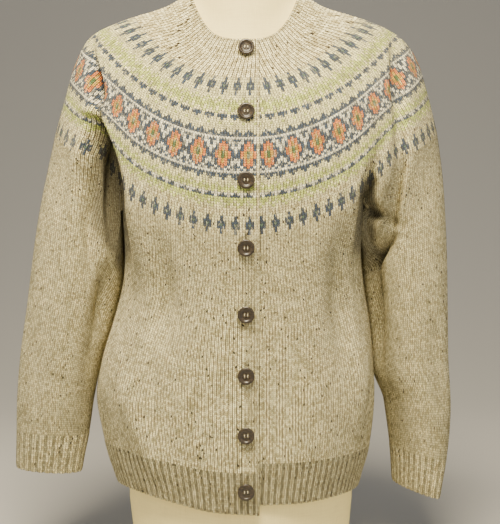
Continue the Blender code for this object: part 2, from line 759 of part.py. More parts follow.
def add_form(material):
    """The dress form: neck, shoulders and a torso with no limbs, flat at its foot."""
    turns = column_turns()[:-1:FORM_COLUMN_STEP]
    drops = np.concatenate([[YOKE[0].drop], yoke_drops()[:FORM_YOKE_ROWS]])
    shoulders = ring_points(row_at(YOKE, drops[:, None]), np.broadcast_to(turns, (len(drops), len(turns))))
    from_front = np.minimum(turns, 360.0 - turns)
    near_lap = smooth_step((FORM_LAP_TURN + FORM_LAP_FADE - from_front) / FORM_LAP_FADE)
    lap_room = (WALL + LAP_GAP) * near_lap
    shoulders = shoulders - (WALL + FORM_CLEAR + lap_room)[:, None] * outward(shoulders, closed=True)
    rows = [ring_points(ring, turns) for ring in FORM_ABOVE]
    rows += list(shoulders)
    rows += [ring_points(ring, turns) for ring in FORM_BELOW]
    mesh = bpy.data.meshes.new("dress_form")
    work = bmesh.new()
    lines = [[work.verts.new(point * MM) for point in row] for row in rows]
    for upper, lower in zip(lines, lines[1:]):
        for k in range(len(turns)):
            after = (k + 1) % len(turns)
            work.faces.new((upper[k], upper[after], lower[after], lower[k]))
    work.faces.new(lines[0])
    work.faces.new(lines[-1])
    bmesh.ops.recalc_face_normals(work, faces=work.faces)
    work.to_mesh(mesh)
    work.free()
    dress(mesh, material)
    add_object("dress_form", mesh)


def button_profile(material):
    """Half the section of a dished button, from the middle of its face over its rim to its back."""
    outline = [(share * BUTTON_RADIUS, height * BUTTON_THICK) for share, height in BUTTON_OUTLINE]
    mesh = bpy.data.meshes.new("button")
    work = bmesh.new()
    verts = [work.verts.new((across * MM, 0.0, height * MM)) for across, height in outline]
    for pair in zip(verts, verts[1:]):
        work.edges.new(pair)
    work.to_mesh(mesh)
    work.free()
    mesh.materials.append(material)
    return mesh


def turn_profile(part):
    """Turns an object's profile about its own axis into a closed solid."""
    turned = part.modifiers.new("turned", "SCREW")
    turned.axis = "Z"
    turned.steps = BUTTON_STEPS
    turned.render_steps = BUTTON_STEPS
    turned.use_merge_vertices = True
    turned.merge_threshold = MERGE


def button_seats(grids):
    """Where each button's back lies on the right front: its point and its outward direction."""
    lines = [np.array([at_across(row, BUTTON_X) for row in grid]) for grid in grids]
    for height in BUTTON_HEIGHTS:
        line = next(line for line in lines if line[-1, 2] <= height + BUTTON_RADIUS)
        levels = height + BUTTON_RADIUS * np.array([0.7, 0.0, -0.7])
        forward = np.interp(levels, line[::-1, 2], line[::-1, 1])
        slope = (forward[2] - forward[0]) / (levels[0] - levels[2])
        facing = np.array([0.0, -1.0, -slope]) / math.hypot(1.0, slope)
        yield np.array([BUTTON_X, forward[1], height]), facing


def at_across(row, across):
    """The point of a row of the right front that lies this far across."""
    near = row[:FRONT_COLUMNS][::-1]
    return np.array([np.interp(across, near[:, 0], near[:, axis]) for axis in range(3)])


def add_buttons(grids, material):
    """The buttons down the right front, whose pieces' outsides are given from the neck down."""
    profile = button_profile(material)
    for number, (seat, facing) in enumerate(button_seats(grids), start=1):
        button = add_object(f"button_{number}", profile)
        turn_profile(button)
        button.rotation_mode = "QUATERNION"
        button.rotation_quaternion = Vector(facing).to_track_quat("Z", "Y")
        button.location = (seat + BUTTON_GAP * facing) * MM


def make_material(name, colour, roughness):
    material = bpy.data.materials.new(name)
    material.use_nodes = True
    shader = material.node_tree.nodes["Principled BSDF"]
    shader.inputs["Base Color"].default_value = colour
    shader.inputs["Roughness"].default_value = roughness
    material.diffuse_color = colour
    return material


def main():
    for old in list(bpy.data.objects):
        bpy.data.objects.remove(old)
    collection = bpy.data.collections.new("cardigan")
    bpy.context.scene.collection.children.link(collection)
    materials = {name: make_material(name, *look) for name, look in COLOURS.items()}
    tweed = materials["tweed"]
    neckband, yoke, hem = neckband_grid(), yoke_grid(), hem_grid()
    turns = yoke_turns(SPLIT_DROP)
    strip = body_strip(turns, yoke[-1])
    body = body_grid(strip)
    add_form(materials["linen"])
    add_neckband(neckband, tweed)
    add_yoke(yoke, materials["yoke_knit"])
    add_body(strip, body, yoke, tweed)
    add_hem(hem, tweed)
    for name, sleeve in SLEEVES.items():
        strip = sleeve_strip(turns, yoke[-1], sleeve.side)
        add_sleeve(f"sleeve_{name}", sleeve, strip, yoke, tweed)
        add_cuff(f"cuff_{name}", sleeve, tweed)
    add_buttons((neckband, yoke, body, hem), materials["horn"])


main()
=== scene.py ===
"""Looks of a buttoned round-yoke cardigan in speckled wool, on a limbless dress form.

Tables and sizes are in millimetres and meshes in metres. X runs to the wearer's left, Y to the back and
Z up. The origin is the middle of the form's flat underside. Places round the body are turns in degrees
from the centre front towards the wearer's right: 90 is the right side, 180 the centre back and 270 the
left side. Each piece of knitting is a grid of stitches: its rows run down the cloth, its columns round
the body or the arm, and its UV map counts stitches across and rows down.
"""

import logging
import math
from collections.abc import Callable, Iterator, Mapping, Sequence
from dataclasses import dataclass
from enum import Enum
from typing import Any, NamedTuple

import bmesh
import bpy
import numpy as np
from mathutils import Matrix, Vector


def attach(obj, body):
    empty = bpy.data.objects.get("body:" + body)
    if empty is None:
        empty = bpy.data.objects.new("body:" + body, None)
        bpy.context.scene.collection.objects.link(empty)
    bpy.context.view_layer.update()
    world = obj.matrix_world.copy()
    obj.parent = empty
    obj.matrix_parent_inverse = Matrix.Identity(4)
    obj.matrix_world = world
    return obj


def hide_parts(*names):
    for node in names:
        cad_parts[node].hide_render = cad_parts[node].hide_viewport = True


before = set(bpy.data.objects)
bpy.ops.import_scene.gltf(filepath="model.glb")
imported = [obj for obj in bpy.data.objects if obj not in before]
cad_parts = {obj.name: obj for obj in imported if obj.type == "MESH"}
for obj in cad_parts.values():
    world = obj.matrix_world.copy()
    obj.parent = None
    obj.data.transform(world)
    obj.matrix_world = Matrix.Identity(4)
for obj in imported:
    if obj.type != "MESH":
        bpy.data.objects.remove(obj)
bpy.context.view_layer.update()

LOG = logging.getLogger("cardigan")
MM = 0.001
MERGE = 1e-6  # metres
TINY_TURN = 1e-6  # degrees
BODY = "root"
STITCH_MAP = "stitches"
PLACE_LAYERS = ("across", "down")  # of each vertex, until they are in the stitches' UV map
YARN_LAYERS = {"yarn": 0, "yarn_above": -1, "yarn_below": 1}  # of each face, and from how many rows below it
Array = np.ndarray
Tree, Node, Socket = bpy.types.NodeTree, bpy.types.Node, bpy.types.NodeSocket
Piece, Mesh = bpy.types.Object, bpy.types.Mesh
Work, Vert = bmesh.types.BMesh, bmesh.types.BMVert
Span = tuple[float, float]

# Knitted cloth.
WALL = 2.4  # the solid's wall
CLOTH = 2.2  # the modelled cloth's thickness
SEAM = 0.45  # the gap between the body and a sleeve under the arm, on each one's side
LAP_GAP = 1.1  # between the two fronts
CROWDING = 1.15  # more than 1 where rows lie closer together at a piece's top
RIB_DEPTH = 1.0  # how far a rib's valley lies under its crown
WALE_DEPTH = 0.45  # how far the groove between two columns of stitches lies under them
GROOVE_HALF = 0.25  # half a groove's width, as a share of a stitch or a rib
EDGE_ROLL = (1.0, 0.3)  # how far the last and the last but one line of stitches turn in at an edge
RIB_SHADE = 0.35  # painted shade in a shallow rib's valley, where a deep one's is 1
BIND_OFF_SHADE = 0.55  # painted shade in the line of holes under a bound-off edge
PICK_UP_SHADE = 0.07  # painted shade along the line where a ribbed band is picked up
GAUGE_ROWS = 1.25  # knitted rows to a row of faces in plain knitting
DENSE_PLACES = 2881  # places at which a round's length is measured

# Buttonholes, of which the upper end shows above each button.
SLIT_HALF = 1.1
SLIT_FROM, SLIT_TO = 8.0, 14.5  # above the button's middle
SLIT_DEPTH = 1.2
SLIT_COLUMNS = 40  # columns of faces from the front's edge among which a slit can lie
BUTTONS = 8

# Front lap: how far each front reaches past the middle, and the turns over which the left one steps in.
LAP_OVER = 18.0
LAP_UNDER = 16.0
LAP_STEP_FROM, LAP_STEP_TO = 334.0, 350.0

# Bands and ribs.
NECKBAND_DEPTH = 24.0
HEM_DEPTH = 48.0
CUFF_DEPTH = 46.0

# The armholes' corners on the yoke's last round, and the cloth under the arms.
ARM_FRONT, ARM_BACK = 39.0, 141.0
LEFT_ARM_FRONT = 36.6
UNDERARM_HEIGHT = 452.0
UNDERARM_REACH = 141.0
UNDERARM_ARCH = 0.8  # under 1 for a blunt arch
UNDERARM_STITCHES = 34

# The form: its room under the cloth, and the turns from the front within which it keeps clear of the lap.
FORM_CLEAR = 1.0
FORM_LAP_TURN, FORM_LAP_FADE = 32.0, 26.0
NECK_TOP_HEIGHT = 770.0


class Ring(NamedTuple):
    """A round: cloth from the neck edge, reach to each side, heights, and how they rise to the sides.

    Its front bulges up by its lobe beside each armhole.
    """

    drop: float
    right: float
    left: float
    front: float
    back: float
    z_front: float
    z_right: float
    z_left: float
    z_back: float
    rise: float
    lobe: float


YOKE = (
    Ring(0.0, 64, 67, 55, 50, 636, 701, 701, 714, 3.4, 0),
    Ring(24.0, 90, 92, 66, 63, 614, 685, 685, 696, 3.0, 0),
    Ring(66.0, 146, 152, 88, 88, 577, 666, 665, 660, 2.3, 0),
    Ring(108.0, 184, 188, 104, 101, 538, 647, 646, 621, 2.2, 0),
    Ring(150.0, 203, 208, 116, 106, 498, 615, 620, 579, 2.2, 4),
    Ring(192.0, 215, 221, 122, 108, 457, 575, 580, 537, 2.1, 10),
    Ring(240.0, 228, 233, 125, 109, 409, 529, 533, 490, 2.0, 15),
)
SPLIT_DROP = YOKE[-1].drop
LOBE_AT, LOBE_SPREAD = 0.74, 0.12  # as shares of the reach to the side


class Level(NamedTuple):
    """The body at one height: reach to each side, to the front and to the back."""

    z: float
    right: float
    left: float
    front: float
    back: float


BODY_LEVELS = (
    Level(90, 150, 138, 111, 101),
    Level(118, 157, 143, 113, 103),
    Level(145, 166, 151, 116, 106),
    Level(175, 173, 156, 118, 108),
    Level(215, 179, 159, 119, 108),
    Level(260, 172, 157, 117, 105),
    Level(310, 157, 152, 115, 102),
    Level(350, 147, 145, 116, 102),
    Level(390, 142, 139, 119, 104),
    Level(430, 140, 138, 122, 106),
    Level(540, 141, 141, 124, 108),
)
BODY_SQUARE = 2.25  # 2 for an ellipse, more for a squarer section
BODY_AT_ARM_FRONT, BODY_AT_ARM_BACK = 61.0, 119.0  # the body's turns under an armhole's corners
BODY_FADE = 120.0  # how far below the split the yoke's shape reaches


class HemPoint(NamedTuple):
    """The height of the hem's edge at a turn."""

    turn: float
    z: float


HEM = (
    HemPoint(-9, 94),
    HemPoint(0, 96),
    HemPoint(12, 98.5),
    HemPoint(25, 105),
    HemPoint(48, 113),
    HemPoint(90, 112),
    HemPoint(140, 108),
    HemPoint(180, 106),
    HemPoint(220, 107),
    HemPoint(270, 108),
    HemPoint(308, 109),
    HemPoint(345, 106),
    HemPoint(369, 106),
)


class SleeveLevel(NamedTuple):
    """A sleeve at one height: outer and inner reach, depth of its middle, half depth and lean."""

    z: float
    outer: float
    inner: float
    middle: float
    depth: float
    lean: float


RIGHT_SLEEVE = (
    SleeveLevel(100, 279, 197, -15, 23, 3),
    SleeveLevel(122, 278, 196, -14, 24, 3),
    SleeveLevel(172, 276.5, 187, -12, 31, 2),
    SleeveLevel(210, 275.5, 182, -10, 38, 1),
    SleeveLevel(260, 271.5, 175, -8, 43, 0),
    SleeveLevel(330, 262, 157, -6, 48, 0),
    SleeveLevel(400, 253, 155, -4, 54, 0),
    SleeveLevel(460, 243, 149, -2, 61, 0),
    SleeveLevel(560, 223, 135, 0, 72, 0),
)
LEFT_SLEEVE = (
    SleeveLevel(80, 231, 185, -14, 22, -30),
    SleeveLevel(100, 233, 184, -14, 22, -30),
    SleeveLevel(142, 240, 181, -14, 26, -28),
    SleeveLevel(200, 245.5, 173, -13, 34, -24),
    SleeveLevel(265, 243.5, 162, -12, 40, -18),
    SleeveLevel(330, 243.5, 155, -10, 46, -13),
    SleeveLevel(400, 243, 152, -7, 53, -8),
    SleeveLevel(460, 240.5, 147, -3, 61, -3),
    SleeveLevel(560, 227, 137, 0, 72, 0),
)
SLEEVE_FADE = 105.0
SLEEVE_TURNS = (52.0, 90.0, 128.0)  # the yoke's turns between an armhole's corners
SLEEVE_ANGLES = (140.0, 105.0, 0.0, -105.0, -140.0)  # the sleeve's angles at the corners and these turns


class Fold(NamedTuple):
    """A soft trough or ridge: its ends, its angle at each end, its spread and its depth."""

    start: float
    end: float
    start_angle: float
    end_angle: float
    spread: float
    depth: float


FOLD_FADE = 1.3  # how sharply a fold fades out at its ends
YOKE_FOLDS = (
    Fold(128, 352, 138, 142, 5.5, -26),
    Fold(128, 352, 222, 218, 5.5, -26),
    Fold(110, 330, 119, 131, 5.0, -8),
    Fold(110, 330, 241, 229, 5.0, -8),
    Fold(150, 330, 58, 60, 3.5, 5),
)
BODY_FOLDS = (
    Fold(490, 370, 45, 40, 6, -12),
    Fold(420, 270, 42, 29, 7, -13),
    Fold(345, 175, 62, 56, 14, 9),
    Fold(270, 120, 46, 34, 7, 8),
    Fold(480, 240, 308, 317, 8, -13),
    Fold(320, 170, 300, 306, 10, 9),
    Fold(300, 150, 340, 352, 14, -4),
    Fold(360, 200, 12, 18, 10, 3),
    Fold(430, 250, 152, 142, 8, -6),
    Fold(430, 230, 214, 224, 8, -6),
    Fold(330, 170, 196, 184, 10, 4),
)
RIGHT_SLEEVE_FOLDS = (
    Fold(640, 330, 102, 112, 13, -12),
    Fold(560, 300, 122, 158, 16, 7),
    Fold(530, 370, 95, 132, 5.0, 10),
    Fold(500, 360, 86, 116, 7, -9),
    Fold(380, 280, 128, 158, 14, -16),
    Fold(360, 230, 118, 150, 18, -7),
    Fold(330, 190, 40, 70, 20, -4),
    Fold(520, 300, -100, -120, 18, -10),
    Fold(340, 200, -60, -30, 20, -5),
)
LEFT_SLEEVE_FOLDS = (
    Fold(620, 385, 98, 110, 9, -9),
    Fold(540, 370, 95, 114, 3.4, -9),
    Fold(560, 380, 126, 136, 18, 12),
    Fold(454, 412, 168, 96, 14, -13),
    Fold(414, 356, 102, 162, 11, -22),
    Fold(410, 230, 134, 160, 13, -15),
    Fold(330, 170, 60, 40, 20, -4),
    Fold(520, 300, -100, -124, 18, -10),
    Fold(320, 180, -50, -80, 20, -5),
)


class CreasePoint(NamedTuple):
    """A crease of the yoke at one drop: its turn from the front, its depth and its spread to each side."""

    drop: float
    turn: float
    depth: float
    body_spread: float
    arm_spread: float


RIGHT_ARMHOLE = (
    CreasePoint(96, 80, 0, 4, 6),
    CreasePoint(118, 71, 5, 4.5, 6),
    CreasePoint(137, 60, 13, 3.8, 6),
    CreasePoint(152, 55.5, 17, 2.9, 6),
    CreasePoint(166, 54, 14, 2.3, 5.5),
    CreasePoint(177, 53, 10, 2.0, 3.5),
    CreasePoint(185, 51.5, 16, 1.8, 4.0),
    CreasePoint(192, 48.5, 32, 1.9, 8.0),
    CreasePoint(201, 45.4, 45, 2.1, 11.0),
    CreasePoint(211, 43.0, 54, 2.3, 13.0),
    CreasePoint(225, 40.8, 60, 2.5, 14.0),
    CreasePoint(240, 39.2, 63, 2.6, 14.0),
)
LEFT_ARMHOLE = (
    CreasePoint(190, 45, 0, 4, 6),
    CreasePoint(204, 42, 3, 3.3, 4.8),
    CreasePoint(216, 39.6, 8, 2.9, 4.0),
    CreasePoint(226, 38.0, 18, 2.6, 3.6),
    CreasePoint(233, 37.1, 30, 2.5, 3.6),
    CreasePoint(240, 36.6, 44, 2.5, 3.8),
)
LEFT_SHOULDER = (
    CreasePoint(96, 74, 0, 4, 6),
    CreasePoint(120, 65, 7, 3.6, 6.5),
    CreasePoint(145, 59, 12, 3.2, 6.5),
    CreasePoint(165, 56.5, 12, 3.0, 6),
    CreasePoint(190, 54, 10, 2.6, 5),
    CreasePoint(215, 51.5, 8, 2.6, 5),
    CreasePoint(240, 49.5, 7, 2.6, 5),
)
CREASE_SQUARE = 2.4  # 2 for a bell's section, more for steeper walls
STRAIGHT_BACK, SIDEWAYS = 44.0, 56.0  # turns from the front between which a crease's push swings round
HOLLOW_FROM, HOLLOW_TO = 6.0, 27.0  # depths of a hollow between which painted shade comes in and reaches its darkest

# The form's rounds above and below its shoulders, which follow the yoke.
FORM_ABOVE = (
    Ring(-75, 53, 53, 53, 53, NECK_TOP_HEIGHT, NECK_TOP_HEIGHT, NECK_TOP_HEIGHT, NECK_TOP_HEIGHT, 2, 0),
    Ring(-60, 54, 54, 53, 52, 742, 748, 748, 750, 2, 0),
    Ring(-40, 56, 56, 51, 49, 704, 722, 722, 731, 2, 0),
    Ring(-18, 60, 60, 50, 47, 664, 709, 709, 722, 3, 0),
)
FORM_SHOULDER_DROPS = (0.0, 24.0, 43.6, 63.3)  # where the form follows the yoke
FORM_BELOW = (
    Ring(88, 157, 158, 91, 88, 552, 650, 650, 634, 2.5, 0),
    Ring(104, 164, 165, 99, 95, 528, 634, 634, 606, 2.6, 0),
    Ring(126, 160, 160, 105, 98, 508, 598, 598, 572, 2.6, 0),
    Ring(155, 141, 141, 109, 97, 482, 538, 538, 524, 2.4, 0),
    Ring(190, 127, 127, 110, 95, 452, 478, 478, 474, 2.0, 0),
    Ring(235, 122, 122, 104, 91, 408, 418, 418, 418, 2.0, 0),
    Ring(310, 114, 114, 92, 82, 335, 338, 338, 338, 2.0, 0),
    Ring(390, 128, 128, 97, 90, 258, 260, 260, 260, 2.0, 0),
    Ring(470, 141, 134, 103, 97, 180, 180, 180, 180, 2.0, 0),
    Ring(560, 140, 132, 101, 95, 90, 90, 90, 90, 2.0, 0),
    Ring(650, 130, 124, 95, 89, 0, 0, 0, 0, 2.0, 0),
)


# ---------------------------------------------------------------------------------------------------------
# The yoke's charts


class Yarn(Enum):
    """The yarns of the yoke, each with the letter that its charts use and its colour."""

    TWEED = ("t", "#d1c197")
    CREAM = ("c", "#fff6b4")
    PALE_GREEN = ("g", "#cdd870")
    SLATE = ("B", "#364960")
    LICHEN = ("k", "#567060")
    WHITE = ("W", "#fffadb")
    ORANGE = ("O", "#ea8640")
    OCHRE = ("Y", "#d8a83c")
    GREEN = ("E", "#55703f")

    def __init__(self, letter: str, colour: str) -> None:
        """Names the two parts of a yarn's value."""
        self.letter = letter
        self.colour = colour


class Lay(Enum):
    """How a band's stitches lie: flat, in ribs, or as a plain round that takes in more stitches."""

    FLAT = "flat"
    RIBBED = "ribbed"
    INCREASE = "increase"


class Band(NamedTuple):
    """Rows of the yoke down to a drop; its chart repeats along each row."""

    until: float
    stitches: int
    chart: tuple[str, ...]
    lay: Lay = Lay.FLAT


# Motifs stand on stitch 3 of each repeat, counted from the right front's edge.
YOKE_BANDS = (
    Band(52.0, 146, ("t",) * 9, Lay.RIBBED),
    Band(55.0, 146, ("t",), Lay.INCREASE),
    Band(79.5, 288, ("tctBt", "cccBc", "ccBBB", "ccBkB", "ccBBB", "cccBc", "cccBc")),
    Band(82.2, 288, ("c",), Lay.INCREASE),
    Band(103.0, 280, ("cgcc", "gcgc", "ggcg", "gggg", "gcgg", "gcgc", "cgcc")),
    Band(110.5, 280, ("BcBB", "BcBB", "cccB")),
    Band(113.2, 280, ("c",), Lay.INCREASE),
    Band(121.3, 320, ("cgcc", "cccc", "cccc")),
    Band(130.0, 320, ("cccB", "BcBB", "BBBB")),
    Band(133.0, 320, ("W",)),
    Band(
        169.5,
        320,
        (
            "BWBBBWBB",
            "WWBOBWWB",
            "WBOOOBWB",
            "WBOYOBWW",
            "BBOYOBBW",
            "BOYEYOBW",
            "BOYEYOBB",
            "BOYEYOBB",
            "BBOYOBBW",
            "WBOYOBWW",
            "WBOOOBWB",
            "BWBOBWBB",
            "WBWBWBWB",
        ),
    ),
    Band(172.3, 320, ("W",), Lay.INCREASE),
    Band(180.3, 336, ("BBBB", "BcBB", "cccB")),
    Band(194.0, 336, ("cccc", "cgcc", "gcgc", "gggg", "gcgc")),
    Band(199.4, 336, ("WWWB", "BWBB")),
    Band(216.8, 336, ("gggg", "gggc", "cgcg", "ctgc", "tctt", "tttt")),
    Band(219.6, 336, ("t",), Lay.INCREASE),
    Band(240.0, 400, ("cctBt", "tctBc", "tcBBB", "ttBkB", "ctBBB", "tttBt", "tttBt")),
)
BRIDGE_SECTORS = 73  # parts in which two rounds with unlike numbers of stitches are joined
FLAT_COLUMNS, RIB_COLUMNS = 2, 4  # columns of faces to a stitch or a rib


# ---------------------------------------------------------------------------------------------------------
# Curves and surfaces of the garment's outside


def row_at(rows: Sequence[NamedTuple], place: Any) -> Any:
    """The table's row at a value of its first column, on a smooth curve through its rows.

    Args:
        rows: the table, in the order of its first column.
        place: a value or an array of values of the first column.

    Returns:
        A row whose columns have the shape of place.
    """
    table = np.array(rows, float)
    keys = table[:, 0]
    slopes = np.gradient(table, keys, axis=0)
    place = np.clip(np.asarray(place, float), keys[0], keys[-1])
    below = np.clip(np.searchsorted(keys, place, side="right") - 1, 0, len(keys) - 2)
    span = keys[below + 1] - keys[below]
    share = (place - keys[below]) / span
    span, share = span[..., None], share[..., None]
    curve = (
        table[below] * (1 + 2 * share) * (1 - share) ** 2
        + table[below + 1] * share**2 * (3 - 2 * share)
        + slopes[below] * span * share * (1 - share) ** 2
        - slopes[below + 1] * span * share**2 * (1 - share)
    )
    return type(rows[0])(*np.moveaxis(curve, -1, 0))


def smooth_step(value: Any) -> Array:
    """A value held from 0 to 1 and eased at both ends."""
    value = np.clip(value, 0.0, 1.0)
    return value * value * (3 - 2 * value)


def fold_push(folds: Sequence[Fold], angles: Array, along: Any) -> Array:
    """How far the folds push the cloth outwards.

    Args:
        folds: the folds of the piece.
        angles: angles round the piece.
        along: drops or heights along it.

    Returns:
        The push at each angle and place.
    """
    push = np.zeros(np.broadcast(angles, along).shape)
    for fold in folds:
        share = (along - fold.start) / (fold.end - fold.start)
        line = fold.start_angle + (fold.end_angle - fold.start_angle) * share
        fade = np.sin(math.pi * np.clip(share, 0.0, 1.0)) ** FOLD_FADE
        push += fold.depth * fade * np.exp(-(((angles - line) / fold.spread) ** 2))
    return push


def directions(degrees: Any) -> tuple[Array, Array]:
    """The sines and the cosines of angles in degrees."""
    return np.sin(np.radians(degrees)), np.cos(np.radians(degrees))


def reaches(section: Any, sine: Array, cosine: Array) -> tuple[Array, Array]:
    """A section's reach to the side and its reach to the front or back, whichever each direction faces."""
    return np.where(sine > 0, section.right, section.left), np.where(cosine > 0, section.front, section.back)


def lap_inset(turns: Array) -> Array:
    """How far the left front lies under the right one."""
    return (WALL + LAP_GAP) * smooth_step((turns - LAP_STEP_FROM) / (LAP_STEP_TO - LAP_STEP_FROM))


def ring_points(ring: Ring, turns: Array) -> Array:
    """Points of a round.

    Args:
        ring: the round.
        turns: turns in degrees.

    Returns:
        The points.
    """
    sine, cosine = directions(turns)
    reach, depth = reaches(ring, sine, cosine)
    side = np.where(sine > 0, ring.z_right, ring.z_left)
    middle = np.where(cosine > 0, ring.z_front, ring.z_back)
    height = middle + (side - middle) * np.abs(sine) ** ring.rise
    lobe = ring.lobe * np.exp(-(((np.abs(sine) - LOBE_AT) / LOBE_SPREAD) ** 2)) * (cosine > 0)
    return np.stack([-reach * sine, -depth * cosine, height + lobe], -1)


def ring_outward(ring: Ring, turns: Array, sideways: Any = 1.0) -> Array:
    """The level direction in which a fold or a lap moves a round's points.

    Args:
        ring: the round.
        turns: the points' turns.
        sideways: how much of the direction's sideways part is kept.

    Returns:
        A unit direction for each turn.
    """
    sine, cosine = directions(turns)
    reach, depth = reaches(ring, sine, cosine)
    facing = np.stack([-sideways * sine / reach, -cosine / depth, np.zeros_like(sine)], -1)
    return facing / np.linalg.norm(facing, axis=-1, keepdims=True)


def crease_depth(drops: Any, turns: Array) -> Array:
    """How deep the armholes' creases lie.

    Args:
        drops: cloth from the neck edge.
        turns: turns round the yoke.

    Returns:
        The depth at each place.
    """
    depth = np.zeros(np.broadcast(drops, turns).shape)
    creases = ((turns, RIGHT_ARMHOLE), (360.0 - turns, LEFT_ARMHOLE), (360.0 - turns, LEFT_SHOULDER))
    for from_front, table in creases:
        point = row_at(table, drops)
        away = from_front - point.turn
        spread = np.where(away < 0, point.body_spread, point.arm_spread)
        depth = depth + point.depth * np.exp(-(np.abs(away / spread) ** CREASE_SQUARE))
    return depth


def hollow_shade(depth: Array) -> Array:
    """How much painted shade the bottom of a hollow of this depth gets, from 0 to 1."""
    return smooth_step((depth - HOLLOW_FROM) / (HOLLOW_TO - HOLLOW_FROM))


def smooth_yoke(drops: Any, turns: Array) -> Array:
    """The yoke's outside without the armholes' creases.

    Args:
        drops: cloth from the neck edge.
        turns: turns round the yoke.

    Returns:
        The points.
    """
    ring = row_at(YOKE, drops)
    push = fold_push(YOKE_FOLDS, np.mod(turns, 360.0), drops) - lap_inset(turns)
    return ring_points(ring, turns) + push[..., None] * ring_outward(ring, turns)


def yoke_surface(drops: Any, turns: Array) -> Array:
    """The yoke's outside, whose creases are pushed straight back at the front and inwards at the sides.

    Args:
        drops: cloth from the neck edge.
        turns: turns round the yoke.

    Returns:
        The points.
    """
    from_front = np.minimum(np.abs(turns), np.abs(360.0 - turns))
    sideways = smooth_step((from_front - STRAIGHT_BACK) / (SIDEWAYS - STRAIGHT_BACK))
    pushed = crease_depth(drops, turns)[..., None] * ring_outward(row_at(YOKE, drops), turns, sideways)
    return smooth_yoke(drops, turns) - pushed


def body_surface(heights: Array, turns: Array) -> Array:
    """The body's outside before the yoke's shape is blended in.

    Args:
        heights: heights of the points.
        turns: their turns.

    Returns:
        The points.
    """
    level = row_at(BODY_LEVELS, heights)
    sine, cosine = directions(turns)
    reach, depth = reaches(level, sine, cosine)
    power = 2 / BODY_SQUARE
    push = fold_push(BODY_FOLDS, np.mod(turns, 360.0), heights) - lap_inset(turns)
    across = -(reach + push) * np.sign(sine) * np.abs(sine) ** power
    forward = -(depth + push) * np.sign(cosine) * np.abs(cosine) ** power
    return np.stack([across, forward, np.broadcast_to(heights, across.shape)], -1)


def body_turn(across: float, reach: Array) -> Array:
    """The turn from the centre front at which the body is this far across."""
    return np.degrees(np.arcsin((across / reach) ** (BODY_SQUARE / 2)))


def even_places(points_at: Callable[[Array], Array], first: float, last: float, count: int) -> Array:
    """Places that lie an equal length apart along a curve.

    Args:
        points_at: gives the curve's points at places.
        first: the place of the first point.
        last: the place of the last point.
        count: how many places.

    Returns:
        The places.
    """
    dense = np.linspace(first, last, DENSE_PLACES)
    steps = np.linalg.norm(np.diff(points_at(dense), axis=0), axis=1)
    length = np.concatenate([[0.0], np.cumsum(steps)])
    return np.interp(np.linspace(0.0, length[-1], count), length, dense)


def yoke_round(drop: float, columns: int) -> tuple[Array, Array]:
    """Evenly spaced columns of a round of the yoke, from one front edge to the other.

    Args:
        drop: cloth from the neck edge.
        columns: how many faces lie along the round.

    Returns:
        The columns' turns and their points.
    """
    ring = row_at(YOKE, drop)
    over = -math.degrees(math.asin(LAP_OVER / float(ring.left)))
    under = 360.0 + math.degrees(math.asin(LAP_UNDER / float(ring.right)))
    turns = even_places(lambda places: smooth_yoke(drop, places), over, under, columns + 1)
    return turns, yoke_surface(drop, turns)


def outward(grid: Array, closed: bool) -> Array:
    """Unit directions out of a grid of points.

    Args:
        grid: rows down the cloth and columns round it.
        closed: true where the last column meets the first.

    Returns:
        A direction for each point.
    """
    down = np.gradient(grid, axis=0)
    across = np.roll(grid, -1, 1) - np.roll(grid, 1, 1) if closed else np.gradient(grid, axis=1)
    facing = np.cross(across, down)
    facing /= np.linalg.norm(facing, axis=-1, keepdims=True)
    middle = grid.mean(axis=1, keepdims=True)
    return facing if np.sum(facing * (grid - middle)) > 0 else -facing


# ---------------------------------------------------------------------------------------------------------
# Materials

MIX_FIRST, MIX_SECOND, MIX_RESULT = 6, 7, 2  # the Mix node's sockets for colours
NUMBER_FIRST, NUMBER_SECOND = 2, 3  # its sockets for plain numbers
NOISE_LIMITS = (0.3, 0.7)  # most of a noise's values lie between these
DIAGONAL_WAVE = math.tau / 10  # the length of a diagonal wave at a scale of 1
LEGS = 2  # of a stitch


def linear(colour: str) -> tuple[float, float, float, float]:
    """A hex colour in the renderer's linear values.

    Args:
        colour: an sRGB colour such as "#e6dcc0".

    Returns:
        Red, green, blue and alpha.
    """
    shares = [int(colour[i : i + 2], 16) / 255 for i in (1, 3, 5)]
    red, green, blue = (s / 12.92 if s <= 0.04045 else ((s + 0.055) / 1.055) ** 2.4 for s in shares)
    return red, green, blue, 1.0


def add_node(tree: Tree, kind: str, links: Mapping[Any, Any], **settings: Any) -> Node:
    """Adds a node with its settings and links.

    Args:
        tree: the material's nodes.
        kind: the node's type, without its prefix.
        links: for each input, a value, a socket, or a node whose first output is meant.
        settings: the node's own properties.

    Returns:
        The node.
    """
    node = tree.nodes.new("ShaderNode" + kind)
    for name, value in settings.items():
        setattr(node, name, value)
    for name, value in links.items():
        if isinstance(value, Node):
            value = value.outputs[0]
        if isinstance(value, Socket):
            tree.links.new(value, node.inputs[name])
        else:
            node.inputs[name].default_value = value
    return node


def add_maths(tree: Tree, operation: str, *values: Any) -> Node:
    """Adds a Math node on one to three numbers, sockets or nodes."""
    return add_node(tree, "Math", dict(enumerate(values)), operation=operation)


def multiply(tree: Tree, *factors: Any) -> Node:
    """Adds the nodes that multiply factors with each other.

    Args:
        tree: the material's nodes.
        factors: two or more nodes or sockets.

    Returns:
        The product's node.
    """
    product = factors[0]
    for factor in factors[1:]:
        product = add_maths(tree, "MULTIPLY", product, factor)
    return product


